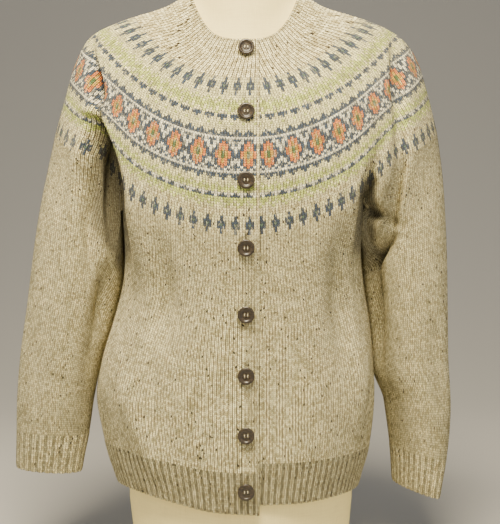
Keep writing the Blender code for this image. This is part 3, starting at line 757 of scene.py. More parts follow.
def arch(tree: Tree, value: Any, top: float, fall: float) -> Node:
    """Adds an arch that is 1 at its top and falls off to both sides.

    Args:
        tree: the material's nodes.
        value: a point's place, from 0 to twice the top's.
        top: the top's place.
        fall: how much lower the arch is at both of its ends.

    Returns:
        The arch's node.
    """
    away = add_maths(tree, "MULTIPLY_ADD", value, 1.0 / top, -1.0)
    return add_maths(tree, "MULTIPLY_ADD", multiply(tree, away, away), -fall, 1.0)


def remap(tree: Tree, value: Any, results: Span, limits: Span = (0.0, 1.0)) -> Node:
    """Adds a node that turns a value's two limits into two results, and what lies between them in step.

    Args:
        tree: the material's nodes.
        value: the value's node or socket.
        results: what the limits become.
        limits: the limits.

    Returns:
        The node.
    """
    return add_node(tree, "MapRange", {0: value, 1: limits[0], 2: limits[1], 3: results[0], 4: results[1]})


def noise(tree: Tree, place: Any, size: float, detail: float = 2.0, roughness: float = 0.5) -> Node:
    """Adds noise whose patches are about this many millimetres across."""
    links = {"Vector": place, "Scale": per_metre(size), "Detail": detail, "Roughness": roughness}
    return add_node(tree, "TexNoise", links)


def random_number(tree: Tree, across: Any, row: Any) -> Node:
    """Adds a random number, and a random colour, for each pair of whole numbers."""
    cell = add_node(tree, "CombineXYZ", {0: across, 1: row})
    return add_node(tree, "TexWhiteNoise", {"Vector": cell}, noise_dimensions="2D")


def mixed(tree: Tree, share: Any, first: Any, second: Any) -> Socket:
    """A colour that goes from the first to the second one as the share rises from 0 to 1."""
    links = {0: share, MIX_FIRST: first, MIX_SECOND: second}
    return add_node(tree, "Mix", links, data_type="RGBA").outputs[MIX_RESULT]


def shaded(tree: Tree, colour: Any, shade: Any) -> Socket:
    """A colour times a shade."""
    return add_node(tree, "VectorMath", {0: colour, "Scale": shade}, operation="SCALE").outputs[0]


def own_place(tree: Tree) -> Socket:
    """The place of a point on its piece, in metres."""
    return add_node(tree, "TexCoord", {}).outputs["Object"]


def set_shader(shader: Node, values: Mapping[str, Any]) -> None:
    """Sets what is the same all over the surface."""
    for name, value in values.items():
        shader.inputs[name].default_value = value


def per_metre(size: float) -> float:
    """A texture's scale for a pattern of this size in millimetres."""
    return 1.0 / (size * MM)


class Finish:
    """A surface's finish, which makes its material when a piece first needs it."""

    name = "finish"

    def material(self) -> bpy.types.Material:
        """The finish's material, made once."""
        found = bpy.data.materials.get(self.name)
        return found or self._make()

    def _make(self) -> bpy.types.Material:
        """Makes the material and has its nodes laid.

        Returns:
            The material.
        """
        material = bpy.data.materials.new(self.name)
        material.use_nodes = True
        tree = material.node_tree
        self.lay_nodes(tree, tree.nodes["Principled BSDF"])
        return material

    def lay_nodes(self, tree: Tree, shader: Node) -> None:
        """Lays the finish's nodes in front of its shader."""
        raise NotImplementedError


class Stitches(NamedTuple):
    """The nodes for what is known of the stitch under a point."""

    leg: Node  # a number of its own for each leg of each stitch
    whole: Node  # a number of its own for each stitch
    column: Node  # how far the point is from its column's middle, to 0.5 between two columns
    down: Node  # rows down the cloth, following the legs
    height: Node  # the leg's height, from 0 in its groove to 1 on its crown
    place: Socket


@dataclass(frozen=True)
class WoolKnit(Finish):
    """Woollen-spun yarn in plain knitting, washed: a soft matt yarn with loose fibres.

    Each stitch is a V of two legs, so the eye sees columns of small slanted strokes with dark gaps
    between them, painted in as shade, and a soft light edge from the fibres.
    """

    name: str = "woollen_knitting"
    slant: float = 0.8  # how far a leg climbs from its foot to its top, in rows
    taper: float = 0.8  # how much lower a leg lies at its ends than at its middle
    legs: Span = (0.12, 1.15)  # brightness of the painted shade in the grooves between the legs and of the painted light on their crowns
    leg_limits: Span = (0.05, 0.8)  # the heights of those
    columns: Span = (1.28, 0.16)  # brightness of the painted light in a column's middle and of the painted shade between two columns
    column_limits: Span = (0.22, 0.5)  # how far from the middle those are
    mottle: Span = (0.88, 1.14)  # brightness of the darkest and the lightest stitch
    cloud: float = 14.0  # millimetres between paler and darker places, where the yarn was thicker or thinner
    cloud_range: Span = (0.86, 1.14)
    fibre: float = 0.6  # millimetres between fibres, drawn coarser than real ones so that they show
    fibre_range: Span = (0.78, 1.2)
    fibre_relief: float = 0.35  # how far the fibres stand out, as a share of a leg's height
    relief: float = 1.1  # millimetres between groove and crown
    relief_strength: float = 0.9
    rib_shade: float = 0.3  # brightness under the fullest painted shade, at the bottom of a rib's valley or of an armhole's hollow
    roughness: float = 0.95
    sheen: float = 0.25
    sheen_roughness: float = 0.6
    sheen_tint: str = "#f4ecd6"
    specular: float = 0.2

    def stitches(self, tree: Tree) -> Stitches:
        """Lays the nodes that find the stitch under a point.

        Args:
            tree: the material's nodes.

        Returns:
            The nodes that the colour and the relief use.
        """
        split = add_node(tree, "SeparateXYZ", {0: add_node(tree, "UVMap", {}, uv_map=STITCH_MAP)})
        across, rows = split.outputs[0], split.outputs[1]
        part = add_maths(tree, "FRACT", across)
        side = add_maths(tree, "ABSOLUTE", add_maths(tree, "SUBTRACT", part, 0.5))
        lowered = add_maths(tree, "SUBTRACT", rows, 0.5 * self.slant)
        down = add_maths(tree, "MULTIPLY_ADD", side, 2 * self.slant, lowered)
        row = add_maths(tree, "FLOOR", down)
        half = add_maths(tree, "FLOOR", add_maths(tree, "MULTIPLY", across, LEGS))
        along = add_maths(tree, "FRACT", down)
        return Stitches(
            leg=random_number(tree, half, row),
            whole=random_number(tree, add_maths(tree, "FLOOR", across), row),
            column=side,
            down=down,
            height=multiply(tree, arch(tree, side, 0.5 / LEGS, 1.0), arch(tree, along, 0.5, self.taper)),
            place=own_place(tree),
        )

    def colour(self, tree: Tree, stitches: Stitches) -> Socket:
        """The yarn's own colour before light and shade."""
        raise NotImplementedError

    def lay_nodes(self, tree: Tree, shader: Node) -> None:
        """Lays the yarn's colour, its painted shade in grooves, valleys and hollows, and its relief.

        Args:
            tree: the material's nodes.
            shader: the node that they feed.
        """
        stitches = self.stitches(tree)
        fibres = noise(tree, stitches.place, self.fibre, detail=3.0, roughness=0.6)
        clouds = noise(tree, stitches.place, self.cloud)
        # the shade attribute: painted shade in rib valleys, along edges, in armhole hollows and in buttonhole
        # slits
        valley = add_node(tree, "Attribute", {}, attribute_name="shade").outputs["Fac"]
        # painted shade and light of grooves, crowns, columns and valleys, times the yarn's random tone
        shade = multiply(
            tree,
            remap(tree, stitches.height, self.legs, self.leg_limits),
            remap(tree, fibres, self.fibre_range, NOISE_LIMITS),
            remap(tree, valley, (1.0, self.rib_shade)),
            remap(tree, stitches.column, self.columns, self.column_limits),
            remap(tree, stitches.whole, self.mottle),
            remap(tree, clouds, self.cloud_range, NOISE_LIMITS),
        )
        colour = shaded(tree, self.colour(tree, stitches), shade)
        tree.links.new(colour, shader.inputs["Base Color"])
        raised = add_maths(tree, "MULTIPLY_ADD", fibres, self.fibre_relief, stitches.height)
        relief = {"Height": raised, "Distance": self.relief * MM, "Strength": self.relief_strength}
        tree.links.new(add_node(tree, "Bump", relief).outputs[0], shader.inputs["Normal"])
        constants = {
            "Roughness": self.roughness,
            "Sheen Weight": self.sheen,
            "Sheen Roughness": self.sheen_roughness,
            "Sheen Tint": linear(self.sheen_tint),
            "Specular IOR Level": self.specular,
        }
        set_shader(shader, constants)


@dataclass(frozen=True)
class TweedKnit(WoolKnit):
    """Tweed yarn: cream wool carded with oatmeal and taupe, with dark flecks spun into it.

    The eye sees each leg of a stitch in a slightly different cream, and sparse dark brown specks.
    """

    name: str = "speckled_tweed_knitting"
    cream: str = "#fff5c2"
    oatmeal: str = "#ebdfab"
    taupe: str = "#bcae7d"
    taupe_share: float = 0.22  # of the legs
    oatmeal_place: float = 0.55  # among the legs, from the darkest to the palest
    fleck: str = "#33271a"
    fleck_size: float = 1.5  # millimetres from its middle to its edge
    fleck_core: float = 0.6  # the share of that size which is darkest
    fleck_most: float = 0.92  # how much of its colour the core shows
    fleck_cell: float = 9.0  # each cell of this size may hold one fleck
    fleck_share: float = 0.24  # of the cells that do
    speck_share: float = 0.008  # of the legs that carry a finer speck

    def colour(self, tree: Tree, stitches: Stitches) -> Socket:
        """Lays a random shade for each leg, a fine speck on a few of them, and sparse flecks.

        Args:
            tree: the material's nodes.
            stitches: the stitch under a point.

        Returns:
            The colour's socket.
        """
        ramp = add_node(tree, "ValToRGB", {0: stitches.leg})
        shades = (self.taupe, self.taupe, self.oatmeal, self.cream)
        stops = tuple(zip((0.0, self.taupe_share, self.oatmeal_place, 1.0), shades))
        while len(ramp.color_ramp.elements) < len(stops):
            ramp.color_ramp.elements.new(0.5)
        for element, (place, colour) in zip(ramp.color_ramp.elements, stops):
            element.position = place
            element.color = linear(colour)
        chance = add_node(tree, "SeparateXYZ", {0: stitches.leg.outputs["Color"]})
        speck = add_maths(tree, "LESS_THAN", chance.outputs[1], self.speck_share)
        cells = add_node(tree, "TexVoronoi", {"Vector": stitches.place, "Scale": per_metre(self.fleck_cell)})
        size = self.fleck_size / self.fleck_cell
        fleck = remap(tree, cells, (0.0, self.fleck_most), (size, self.fleck_core * size))
        lot = add_node(tree, "SeparateXYZ", {0: cells.outputs["Color"]})
        drawn = add_maths(tree, "LESS_THAN", lot.outputs[0], self.fleck_share)
        dark = add_maths(tree, "MAXIMUM", speck, multiply(tree, fleck, drawn))
        return mixed(tree, dark, ramp.outputs[0], linear(self.fleck))


@dataclass(frozen=True)
class StrandedKnit(WoolKnit):
    """Stranded knitting in two yarns a row, chosen stitch by stitch from a chart.

    A stitch's legs reach into the row above, so the eye sees each motif's edge as small steps of Vs.
    """

    name: str = "stranded_knitting"
    unevenness: Span = (0.58, 1.21)  # brightness of the darkest and the lightest leg
    heather: str = "#d9d2ae"  # the light wool carded into the coloured yarns
    heather_share: float = 0.3  # of the legs that show it
    heather_most: float = 0.6
    tweed: TweedKnit = TweedKnit()

    def colour(self, tree: Tree, stitches: Stitches) -> Socket:
        """Lays the chart's yarn of the stitch whose leg covers the point, and the tweed where it is that.

        Args:
            tree: the material's nodes.
            stitches: the stitch under a point.

        Returns:
            The colour's socket.
        """
        own, above, below = (add_node(tree, "Attribute", {}, attribute_name=name) for name in YARN_LAYERS)
        row = add_node(tree, "Attribute", {}, attribute_name="row").outputs["Fac"]
        within = add_maths(tree, "SUBTRACT", stitches.down, row)
        dyed, colour = own.outputs["Alpha"], own.outputs["Color"]
        for test, edge, yarn in (("LESS_THAN", 0.0, above), ("GREATER_THAN", 1.0, below)):
            reached = add_maths(tree, test, within, edge)
            links = {0: reached, NUMBER_FIRST: dyed, NUMBER_SECOND: yarn.outputs["Alpha"]}
            dyed = add_node(tree, "Mix", links).outputs[0]
            colour = mixed(tree, reached, colour, yarn.outputs["Color"])
        chance = add_node(tree, "SeparateXYZ", {0: stitches.leg.outputs["Color"]})
        carded = remap(tree, chance.outputs[2], (0.0, self.heather_most), (1.0 - self.heather_share, 1.0))
        colour = mixed(tree, carded, colour, linear(self.heather))
        colour = shaded(tree, colour, remap(tree, stitches.leg, self.unevenness))
        return mixed(tree, dyed, self.tweed.colour(tree, stitches), colour)


@dataclass(frozen=True)
class Horn(Finish):
    """Polished horn: dark brown with lighter streaks in its layers, and a deep gloss."""

    name: str = "polished_horn"
    dark: str = "#231b10"
    light: str = "#493b25"
    streak: float = 3.0  # millimetres between streaks
    streak_limits: Span = (0.42, 0.72)  # the noise where a streak starts and where it is lightest
    streak_tilt: float = 0.5  # radians
    streak_thinness: float = 3.0
    roughness: float = 0.36
    worn: float = 4.0  # millimetres between worn places
    wear: Span = (0.8, 1.3)  # how much smoother and rougher than that they are
    refraction: float = 1.54
    coat: float = 0.12
    coat_roughness: float = 0.15

    def lay_nodes(self, tree: Tree, shader: Node) -> None:
        """Lays streaks across the disc and a gloss that is worn in places.

        Args:
            tree: the material's nodes.
            shader: the node that they feed.
        """
        place = own_place(tree)
        turn, stretch = (0.0, self.streak_tilt, 0.0), (1.0, 1.0, self.streak_thinness)
        layers = {0: place, "Rotation": turn, "Scale": stretch}
        streaks = noise(tree, add_node(tree, "Mapping", layers), self.streak, detail=4.0)
        share = remap(tree, streaks, (0.0, 1.0), self.streak_limits)
        colour = mixed(tree, share, linear(self.dark), linear(self.light))
        tree.links.new(colour, shader.inputs["Base Color"])
        smoothest, roughest = (self.roughness * share for share in self.wear)
        rough = remap(tree, noise(tree, place, self.worn), (smoothest, roughest))
        tree.links.new(rough.outputs[0], shader.inputs["Roughness"])
        gloss = {"IOR": self.refraction, "Coat Weight": self.coat, "Coat Roughness": self.coat_roughness}
        set_shader(shader, gloss)


@dataclass(frozen=True)
class SewingThread(Finish):
    """Cotton sewing thread, plied: matt and light, with fine slanting plies."""

    name: str = "cotton_thread"
    colour: str = "#d9cfae"
    ply: float = math.pi  # millimetres from ply to ply on the slant, coarser than real ones so that they show
    ply_range: Span = (0.7, 1.0)  # brightness of the painted shade between the plies and of the plies themselves
    roughness: float = 0.8

    def lay_nodes(self, tree: Tree, shader: Node) -> None:
        """Lays the plies as fine bands with painted shade between them.

        Args:
            tree: the material's nodes.
            shader: the node that they feed.
        """
        links = {"Vector": own_place(tree), "Scale": DIAGONAL_WAVE * per_metre(self.ply)}
        plies = add_node(tree, "TexWave", links, bands_direction="DIAGONAL")
        shade = remap(tree, plies.outputs["Fac"], self.ply_range)
        tree.links.new(shaded(tree, linear(self.colour)[:3], shade), shader.inputs["Base Color"])
        set_shader(shader, {"Roughness": self.roughness})


@dataclass(frozen=True)
class Linen(Finish):
    """Cream linen stretched over the form: plain weave with slubs, matt, a little uneven in colour."""

    name: str = "cream_linen"
    colour: str = "#ffeda6"
    thread: float = 1.2  # millimetres between threads, drawn coarser than real ones so that they show
    thread_run: float = 0.06  # how much slower a thread changes along itself than across
    weave_limits: Span = (0.7, 1.3)  # the thinnest and the thickest crossing of two threads
    weave_range: Span = (0.94, 1.03)  # their brightness
    mottle: float = 36.0  # millimetres between paler and darker places
    mottle_range: Span = (0.95, 1.05)
    relief: float = 0.25  # millimetres
    relief_strength: float = 0.6
    roughness: float = 0.88

    def lay_nodes(self, tree: Tree, shader: Node) -> None:
        """Lays the weave, its slubs and a faint mottle.

        Args:
            tree: the material's nodes.
            shader: the node that they feed.
        """
        place, run = own_place(tree), self.thread_run
        warp, weft = (
            noise(tree, add_node(tree, "Mapping", {0: place, "Scale": scale}), self.thread)
            for scale in ((1.0, 1.0, run), (run, run, 1.0))
        )
        weave = add_maths(tree, "ADD", warp, weft)
        shade = multiply(
            tree,
            remap(tree, weave, self.weave_range, self.weave_limits),
            remap(tree, noise(tree, place, self.mottle), self.mottle_range),
        )
        tree.links.new(shaded(tree, linear(self.colour)[:3], shade), shader.inputs["Base Color"])
        relief = {"Height": weave, "Distance": self.relief * MM, "Strength": self.relief_strength}
        tree.links.new(add_node(tree, "Bump", relief).outputs[0], shader.inputs["Normal"])
        set_shader(shader, {"Roughness": self.roughness})


@dataclass(frozen=True)
class StudioPaper(Finish):
    """Seamless studio paper: flat, pale and matt."""

    name: str = "studio_paper"
    colour: str = "#c9c7c2"
    roughness: float = 0.9

    def lay_nodes(self, tree: Tree, shader: Node) -> None:
        """Sets the paper's colour."""
        set_shader(shader, {"Base Color": linear(self.colour), "Roughness": self.roughness})


# ---------------------------------------------------------------------------------------------------------
# Knitted meshes


@dataclass
class Knitting:
    """A grid of knitting: its outside, how its stitches are numbered, and its relief."""

    points: Array  # rows by columns by 3
    stitches: float  # across the grid
    closed: bool = False
    first_row: int = 0
    row_share: float = 1.0  # knitted rows to a row of faces

    def __post_init__(self) -> None:
        """Works out the outward directions and starts with no relief and no painted shade."""
        self.facing = outward(self.points, self.closed)
        self.relief = np.zeros(self.points.shape[:2])
        self.shade = np.zeros(self.points.shape[:2])

    @property
    def within(self) -> Array:
        """Each column's place within its stitch.

        Returns:
            A share from 0 to 1 for each column.
        """
        columns = self.points.shape[1]
        count = columns if self.closed else columns - 1
        return np.mod(np.arange(columns) * self.stitches / count, 1.0)

    def groove_columns(self, depth: Any) -> None:
        """Sinks the grooves between stitches or ribs.

        Args:
            depth: how deep, for the whole grid or for each row.
        """
        near = np.minimum(self.within, 1.0 - self.within)
        groove = np.clip(1.0 - near / GROOVE_HALF, 0.0, 1.0)
        depth = np.broadcast_to(np.asarray(depth, float), (len(self.points),))
        self.relief -= depth[:, None] * groove[None, :]

    def roll_edge(self, axis: int, at_end: bool) -> None:
        """Turns an edge in, as a knitted edge curls.

        Args:
            axis: 0 for the first or last row, 1 for the first or last column.
            at_end: true for the last one.
        """
        for step, depth in enumerate(EDGE_ROLL):
            line = -1 - step if at_end else step
            if axis == 0:
                self.relief[line] -= depth
            else:
                self.relief[:, line] -= depth

    def cut_slits(self, buttons: Sequence[Array]) -> None:
        """Sinks the end of each buttonhole that shows above its button and paints shade into it.

        Args:
            buttons: the buttons' middles.
        """
        front = self.points[:, :SLIT_COLUMNS]
        for middle in buttons:
            above = front[..., 2] - middle[2]
            near = (np.abs(front[..., 0] - middle[0]) < SLIT_HALF) & (above > SLIT_FROM) & (above < SLIT_TO)
            self.relief[:, :SLIT_COLUMNS][near] -= SLIT_DEPTH
            # painted shade in the slit
            self.shade[:, :SLIT_COLUMNS][near] = 1.0

    def all_round(self, values: Array) -> Array:
        """The grid's values, with the first column's again at the end where the grid is closed."""
        return np.concatenate([values, values[:, :1]], axis=1) if self.closed else values

    def cut(self) -> tuple[float, float, float]:
        """Measures the cloth as it would lie flat, without its relief.

        Returns:
            Its longest row, its longest column and its area, in metres.
        """
        points = self.all_round(self.points)
        across = np.linalg.norm(np.diff(points, axis=1), axis=-1)
        down = np.linalg.norm(np.diff(points, axis=0), axis=-1)
        width, length = across.sum(axis=1), down.sum(axis=0)
        area = (0.5 * (across[1:] + across[:-1]) * 0.5 * (down[:, 1:] + down[:, :-1])).sum()
        return float(width.max() * MM), float(length.max() * MM), float(area * MM * MM)

    def lay(self, work: Work) -> list[Vert]:
        """Lays the grid in a mesh as faces that point outwards.

        Args:
            work: the mesh under work, with its layers for knitting.

        Returns:
            The new vertices, row by row.
        """
        points = self.all_round(self.points + self.relief[..., None] * self.facing) * MM
        shade = self.all_round(self.shade)
        rows, columns = points.shape[:2]
        share = np.linspace(0.0, 1.0, columns)
        made = bmesh.ops.create_grid(work, x_segments=columns - 1, y_segments=rows - 1, size=1.0)["verts"]
        row, column = rows // 2, columns // 4
        step_across = points[row, column + 1] - points[row, column]
        step_down = points[row + 1, column] - points[row, column]
        if np.dot(np.cross(step_across, step_down), self.facing[row, column]) < 0:
            points, shade, share = points[:, ::-1], shade[:, ::-1], share[::-1]
        across, down, dark = (work.verts.layers.float[name] for name in (*PLACE_LAYERS, "shade"))
        for number, vert in enumerate(made):
            row, column = divmod(number, columns)
            vert.co = points[row, column]
            vert[across] = share[column]
            vert[down] = self.first_row + row * self.row_share
            vert[dark] = shade[row, column]
        return made


def new_knitting() -> Work:
    """Starts a mesh for knitting.

    Returns:
        An empty mesh with layers for the place across, the row and the painted shade of each vertex.
    """
    work = bmesh.new()
    for name in (*PLACE_LAYERS, "shade"):
        work.verts.layers.float.new(name)
    return work


def made_mesh(name: str, work: Work) -> Mesh:
    """Makes the mesh under work into one that an object can have.

    Args:
        name: its name.
        work: the mesh under work; it is freed.

    Returns:
        The mesh.
    """
    mesh = bpy.data.meshes.new(name)
    work.to_mesh(mesh)
    work.free()
    return mesh


def knitted_mesh(name: str, work: Work, stitches: Sequence[float], closed: bool) -> Mesh:
    """Makes the mesh of a knitted piece and numbers its stitches in its UV map.

    Args:
        name: the piece's name.
        work: its faces, with the knitting layers; it is freed.
        stitches: for each row, the stitches across the piece.
        closed: true where the first and last columns are to be joined.

    Returns:
        The mesh, with a "row" on each face.
    """
    mesh = made_mesh(name, work)
    corners = read_values(mesh.loops, "vertex_index", int)
    starts, sizes = (read_values(mesh.polygons, what, int) for what in ("loop_start", "loop_total"))
    across, down = (read_values(mesh.attributes[layer].data, "value") for layer in PLACE_LAYERS)
    rows = np.minimum.reduceat(down[corners], starts)
    counts = np.asarray(stitches, float)[np.clip(rows.astype(int), 0, len(stitches) - 1)]
    marks = np.stack([across[corners] * np.repeat(counts, sizes), down[corners]], -1)
    uv_map = mesh.uv_layers.new(name=STITCH_MAP)
    uv_map.data.foreach_set("uv", marks.astype(np.float32).ravel())
    mesh.attributes.new("row", "FLOAT", "FACE").data.foreach_set("value", rows.astype(np.float32))
    for layer in PLACE_LAYERS:
        mesh.attributes.remove(mesh.attributes[layer])
    mesh.shade_smooth()
    edged = bmesh.new()
    edged.from_mesh(mesh)
    if closed:
        bmesh.ops.remove_doubles(edged, verts=edged.verts, dist=MERGE)
    for edge in edged.edges:
        edge.smooth = not edge.is_boundary
    edged.to_mesh(mesh)
    edged.free()
    return mesh


def read_values(items: Any, what: str, kind: type = float, each: int = 1) -> Array:
    """Reads one property of all the items of a mesh.

    Args:
        items: the mesh's vertices, loops, faces or the data of one of its layers.
        what: the property's name.
        kind: the type of its values.
        each: how many values an item has.

    Returns:
        The values in one row.
    """
    values = np.empty(len(items) * each, kind)
    items.foreach_get(what, values)
    return values


def add_piece(name: str, mesh: Mesh, finish: Finish, nodes: Sequence[str]) -> Piece:
    """Adds a finished piece that rides on the body and stands for its solids.

    Args:
        name: the piece's name.
        mesh: its mesh, in place.
        finish: what it is finished in.
        nodes: the solids that it replaces.

    Returns:
        The piece.
    """
    mesh.materials.append(finish.material())
    piece = bpy.data.objects.new(name, mesh)
    bpy.context.scene.collection.objects.link(piece)
    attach(piece, BODY)
    if nodes:
        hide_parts(*nodes)
    LOG.info("%s: %d faces", name, len(mesh.polygons))
    return piece


def add_cloth(
    name: str, mesh: Mesh, finish: Finish, cut: tuple[float, float, float]
) -> Piece:
    """Adds a piece of cloth that replaces the solid of its own name.

    Args:
        name: the piece's name without its ending; the solid has the same.
        mesh: its outside.
        finish: what it is knitted in.
        cut: its flat width, length and area in metres.

    Returns:
        The piece.
    """
    piece = add_piece(f"{name}_knit", mesh, finish, [name])
    wall = piece.modifiers.new("wall", "SOLIDIFY")
    wall.thickness = CLOTH * MM
    wall.offset = -1.0
    width, length, area = cut
    area = min(area, width * length)
    LOG.info("%s: cut %.3f by %.3f m, %.4f square metres", name, width, length, area)
    return piece


def add_tweed(name: str, knitting: Knitting) -> Piece:
    """Adds a piece of cloth that is knitted in tweed from a single grid.

    Args:
        name: the piece's name without its ending.
        knitting: its grid, with its relief.

    Returns:
        The piece.
    """
    work = new_knitting()
    knitting.lay(work)
    rows = len(knitting.points) - 1
    mesh = knitted_mesh(name, work, [knitting.stitches] * rows, knitting.closed)
    return add_cloth(name, mesh, TweedKnit(), knitting.cut())


# ---------------------------------------------------------------------------------------------------------
# Sub-assemblies


@dataclass
class Neckband:
    """The ribbed band round the neck, one knit and one purl."""

    ribs: int = 116
    rows: int = 8
    overlap: float = 0.3  # the band runs this far over the yoke's first row
    tuck: float = 0.2  # and its last row lies this much deeper

    def build(self) -> Piece:
        """Builds the band from its bound-off edge down.

        Returns:
            The band.
        """
        drops = np.linspace(YOKE[0].drop, NECKBAND_DEPTH + self.overlap, self.rows + 1)
        grid = np.array([yoke_round(drop, self.ribs * RIB_COLUMNS)[1] for drop in drops])
        knitting = Knitting(grid, self.ribs)
        knitting.groove_columns(RIB_DEPTH)
        groove = -knitting.relief / RIB_DEPTH
        # painted shade in the ribs' valleys and along the line of holes under the bound-off edge
        knitting.shade = RIB_SHADE * np.clip(groove, 0.0, 1.0)
        knitting.shade[1] += BIND_OFF_SHADE * (1.0 - groove[1])
        knitting.roll_edge(0, at_end=False)
        knitting.roll_edge(1, at_end=False)
        knitting.relief[-1] -= self.tuck
        return add_tweed("neckband", knitting)


@dataclass
class RoundYoke:
    """The patterned yoke, knitted in bands whose rounds take in more stitches on the way down."""

    bands: tuple[Band, ...] = YOKE_BANDS
    top: float = NECKBAND_DEPTH
    rib_fade: float = 4.0  # rows over which the ribs sink into plain knitting

    def rows(self) -> Iterator[tuple[Band, str, float, float]]:
        """The yoke's rows from the neck down.

        Yields:
            A row's band, its chart line, and the drops of its upper and lower edges.
        """
        start = self.top
        for band in self.bands:
            edges = np.linspace(start, band.until, len(band.chart) + 1)
            for line, upper, lower in zip(band.chart, edges, edges[1:]):
                yield band, line, float(upper), float(lower)
            start = band.until

    def stretches(self) -> Iterator[tuple[Lay, int, int, list[float]]]:
        """Stretches of rows with one stitch count and no increase among them.

        Yields:
            How the stretch lies, its stitches, its first row and its rows' drops.
        """
        rows = list(self.rows())
        first = 0
        while first < len(rows):
            band = rows[first][0]
            if band.lay is Lay.INCREASE:
                first += 1
                continue
            last = first
            while last + 1 < len(rows) and rows[last + 1][0].lay is not Lay.INCREASE:
                last += 1
            drops = [rows[first][2]] + [row[3] for row in rows[first : last + 1]]
            yield band.lay, band.stitches, first, drops
            first = last + 1

    def knit_stretch(self, lay: Lay, stitches: int, first: int, drops: list[float]) -> Knitting:
        """Lays out one stretch with its relief.

        Args:
            lay: how its stitches lie.
            stitches: how many there are in a row.
            first: the number of its first row.
            drops: its rows' edges.

        Returns:
            The stretch.
        """
        columns = stitches * (RIB_COLUMNS if lay is Lay.RIBBED else FLAT_COLUMNS)
        rounds = [yoke_round(drop, columns) for drop in drops]
        knitting = Knitting(np.array([points for _turns, points in rounds]), stitches, first_row=first)
        hollow = np.array([crease_depth(drop, turns) for drop, (turns, _points) in zip(drops, rounds)])
        if lay is Lay.RIBBED:
            left = smooth_step((len(drops) - 1 - np.arange(len(drops))) / self.rib_fade)
            depth = WALE_DEPTH + (RIB_DEPTH - WALE_DEPTH) * left
            knitting.groove_columns(depth)
            # painted shade in the valleys of the ribs, fading as they sink
            knitting.shade = RIB_SHADE * np.clip(-knitting.relief / RIB_DEPTH, 0.0, 1.0) * left[:, None]
        else:
            knitting.groove_columns(WALE_DEPTH)
        # painted shade in the armholes' hollows
        knitting.shade += hollow_shade(hollow)
        knitting.cut_slits(button_middles())
        knitting.roll_edge(1, at_end=False)
        return knitting

    def build(self) -> Piece:
        """Builds the yoke, joins its stretches and colours its stitches.

        Returns:
            The yoke.
        """
        work = new_knitting()
        lower_edge: list[Vert] = []
        cuts = []
        for lay, stitches, first, drops in self.stretches():
            knitting = self.knit_stretch(lay, stitches, first, drops)
            cuts.append(knitting.cut())
            verts = knitting.lay(work)
            columns = knitting.points.shape[1]
            if lower_edge:
                join_rounds(work, lower_edge, verts[:columns])
            lower_edge = verts[-columns:]
        counts = [band.stitches for band, _line, _upper, _lower in self.rows()]
        mesh = knitted_mesh("yoke", work, counts, closed=False)
        self.colour_stitches(mesh)
        length = (SPLIT_DROP - self.top) * MM
        area = sum(cut[2] for cut in cuts) * length / sum(cut[1] for cut in cuts)
        return add_cloth("yoke", mesh, StrandedKnit(), (cuts[-1][0], length, area))

    def colour_stitches(self, mesh: Mesh) -> None:
        """Gives each face the yarns of its stitch and of those above and below, with no alpha for tweed.

        Args:
            mesh: the yoke's mesh, with its rows and its UV map.
        """
        lines = [line for _band, line, _upper, _lower in self.rows()]
        counts = np.array([band.stitches for band, _line, _upper, _lower in self.rows()])
        colours = {yarn.letter: (*linear(yarn.colour)[:3], float(yarn is not Yarn.TWEED)) for yarn in Yarn}
        rows = read_values(mesh.attributes["row"].data, "value").astype(int)
        marks = read_values(mesh.uv_layers[STITCH_MAP].data, "uv", each=2)
        sizes = read_values(mesh.polygons, "loop_total", int)
        starts = np.concatenate([[0], np.cumsum(sizes)[:-1]])
        across = np.add.reduceat(marks[::2], starts) / sizes / counts[rows]
        for name, offset in YARN_LAYERS.items():
            worked = np.clip(rows + offset, 0, len(lines) - 1)
            stitch = np.floor(across * counts[worked]).astype(int)
            letters = [chart_letter(lines[row], at) for row, at in zip(worked, stitch)]
            values = np.array([colours[letter] for letter in letters], np.float32)
            mesh.attributes.new(name, "FLOAT_COLOR", "FACE").data.foreach_set("color", values.ravel())


def chart_letter(line: str, stitch: int) -> str:
    """The chart's yarn for a stitch; the first stitch is the plain chain at the front edge.

    Args:
        line: the chart's line for the row.
        stitch: the stitch's number in the row.

    Returns:
        The yarn's letter.
    """
    if stitch == 0 and len(line) > 1:
        return Yarn.TWEED.letter
    return line[stitch % len(line)]


def join_rounds(work: Work, upper: Sequence[Vert], lower: Sequence[Vert]) -> None:
    """Joins two rounds with unlike numbers of stitches, sector by sector.

    Args:
        work: the mesh under work.
        upper: the last vertices above the increase.
        lower: the first vertices below it.
    """
    for sector in range(BRIDGE_SECTORS):
        edges = []
        for line in (upper, lower):
            count = len(line) - 1
            start, end = (round(count * k / BRIDGE_SECTORS) for k in (sector, sector + 1))
            edges += [work.edges.get(pair) for pair in zip(line[start:end], line[start + 1 : end + 1])]
        bmesh.ops.bridge_loops(work, edges=edges)


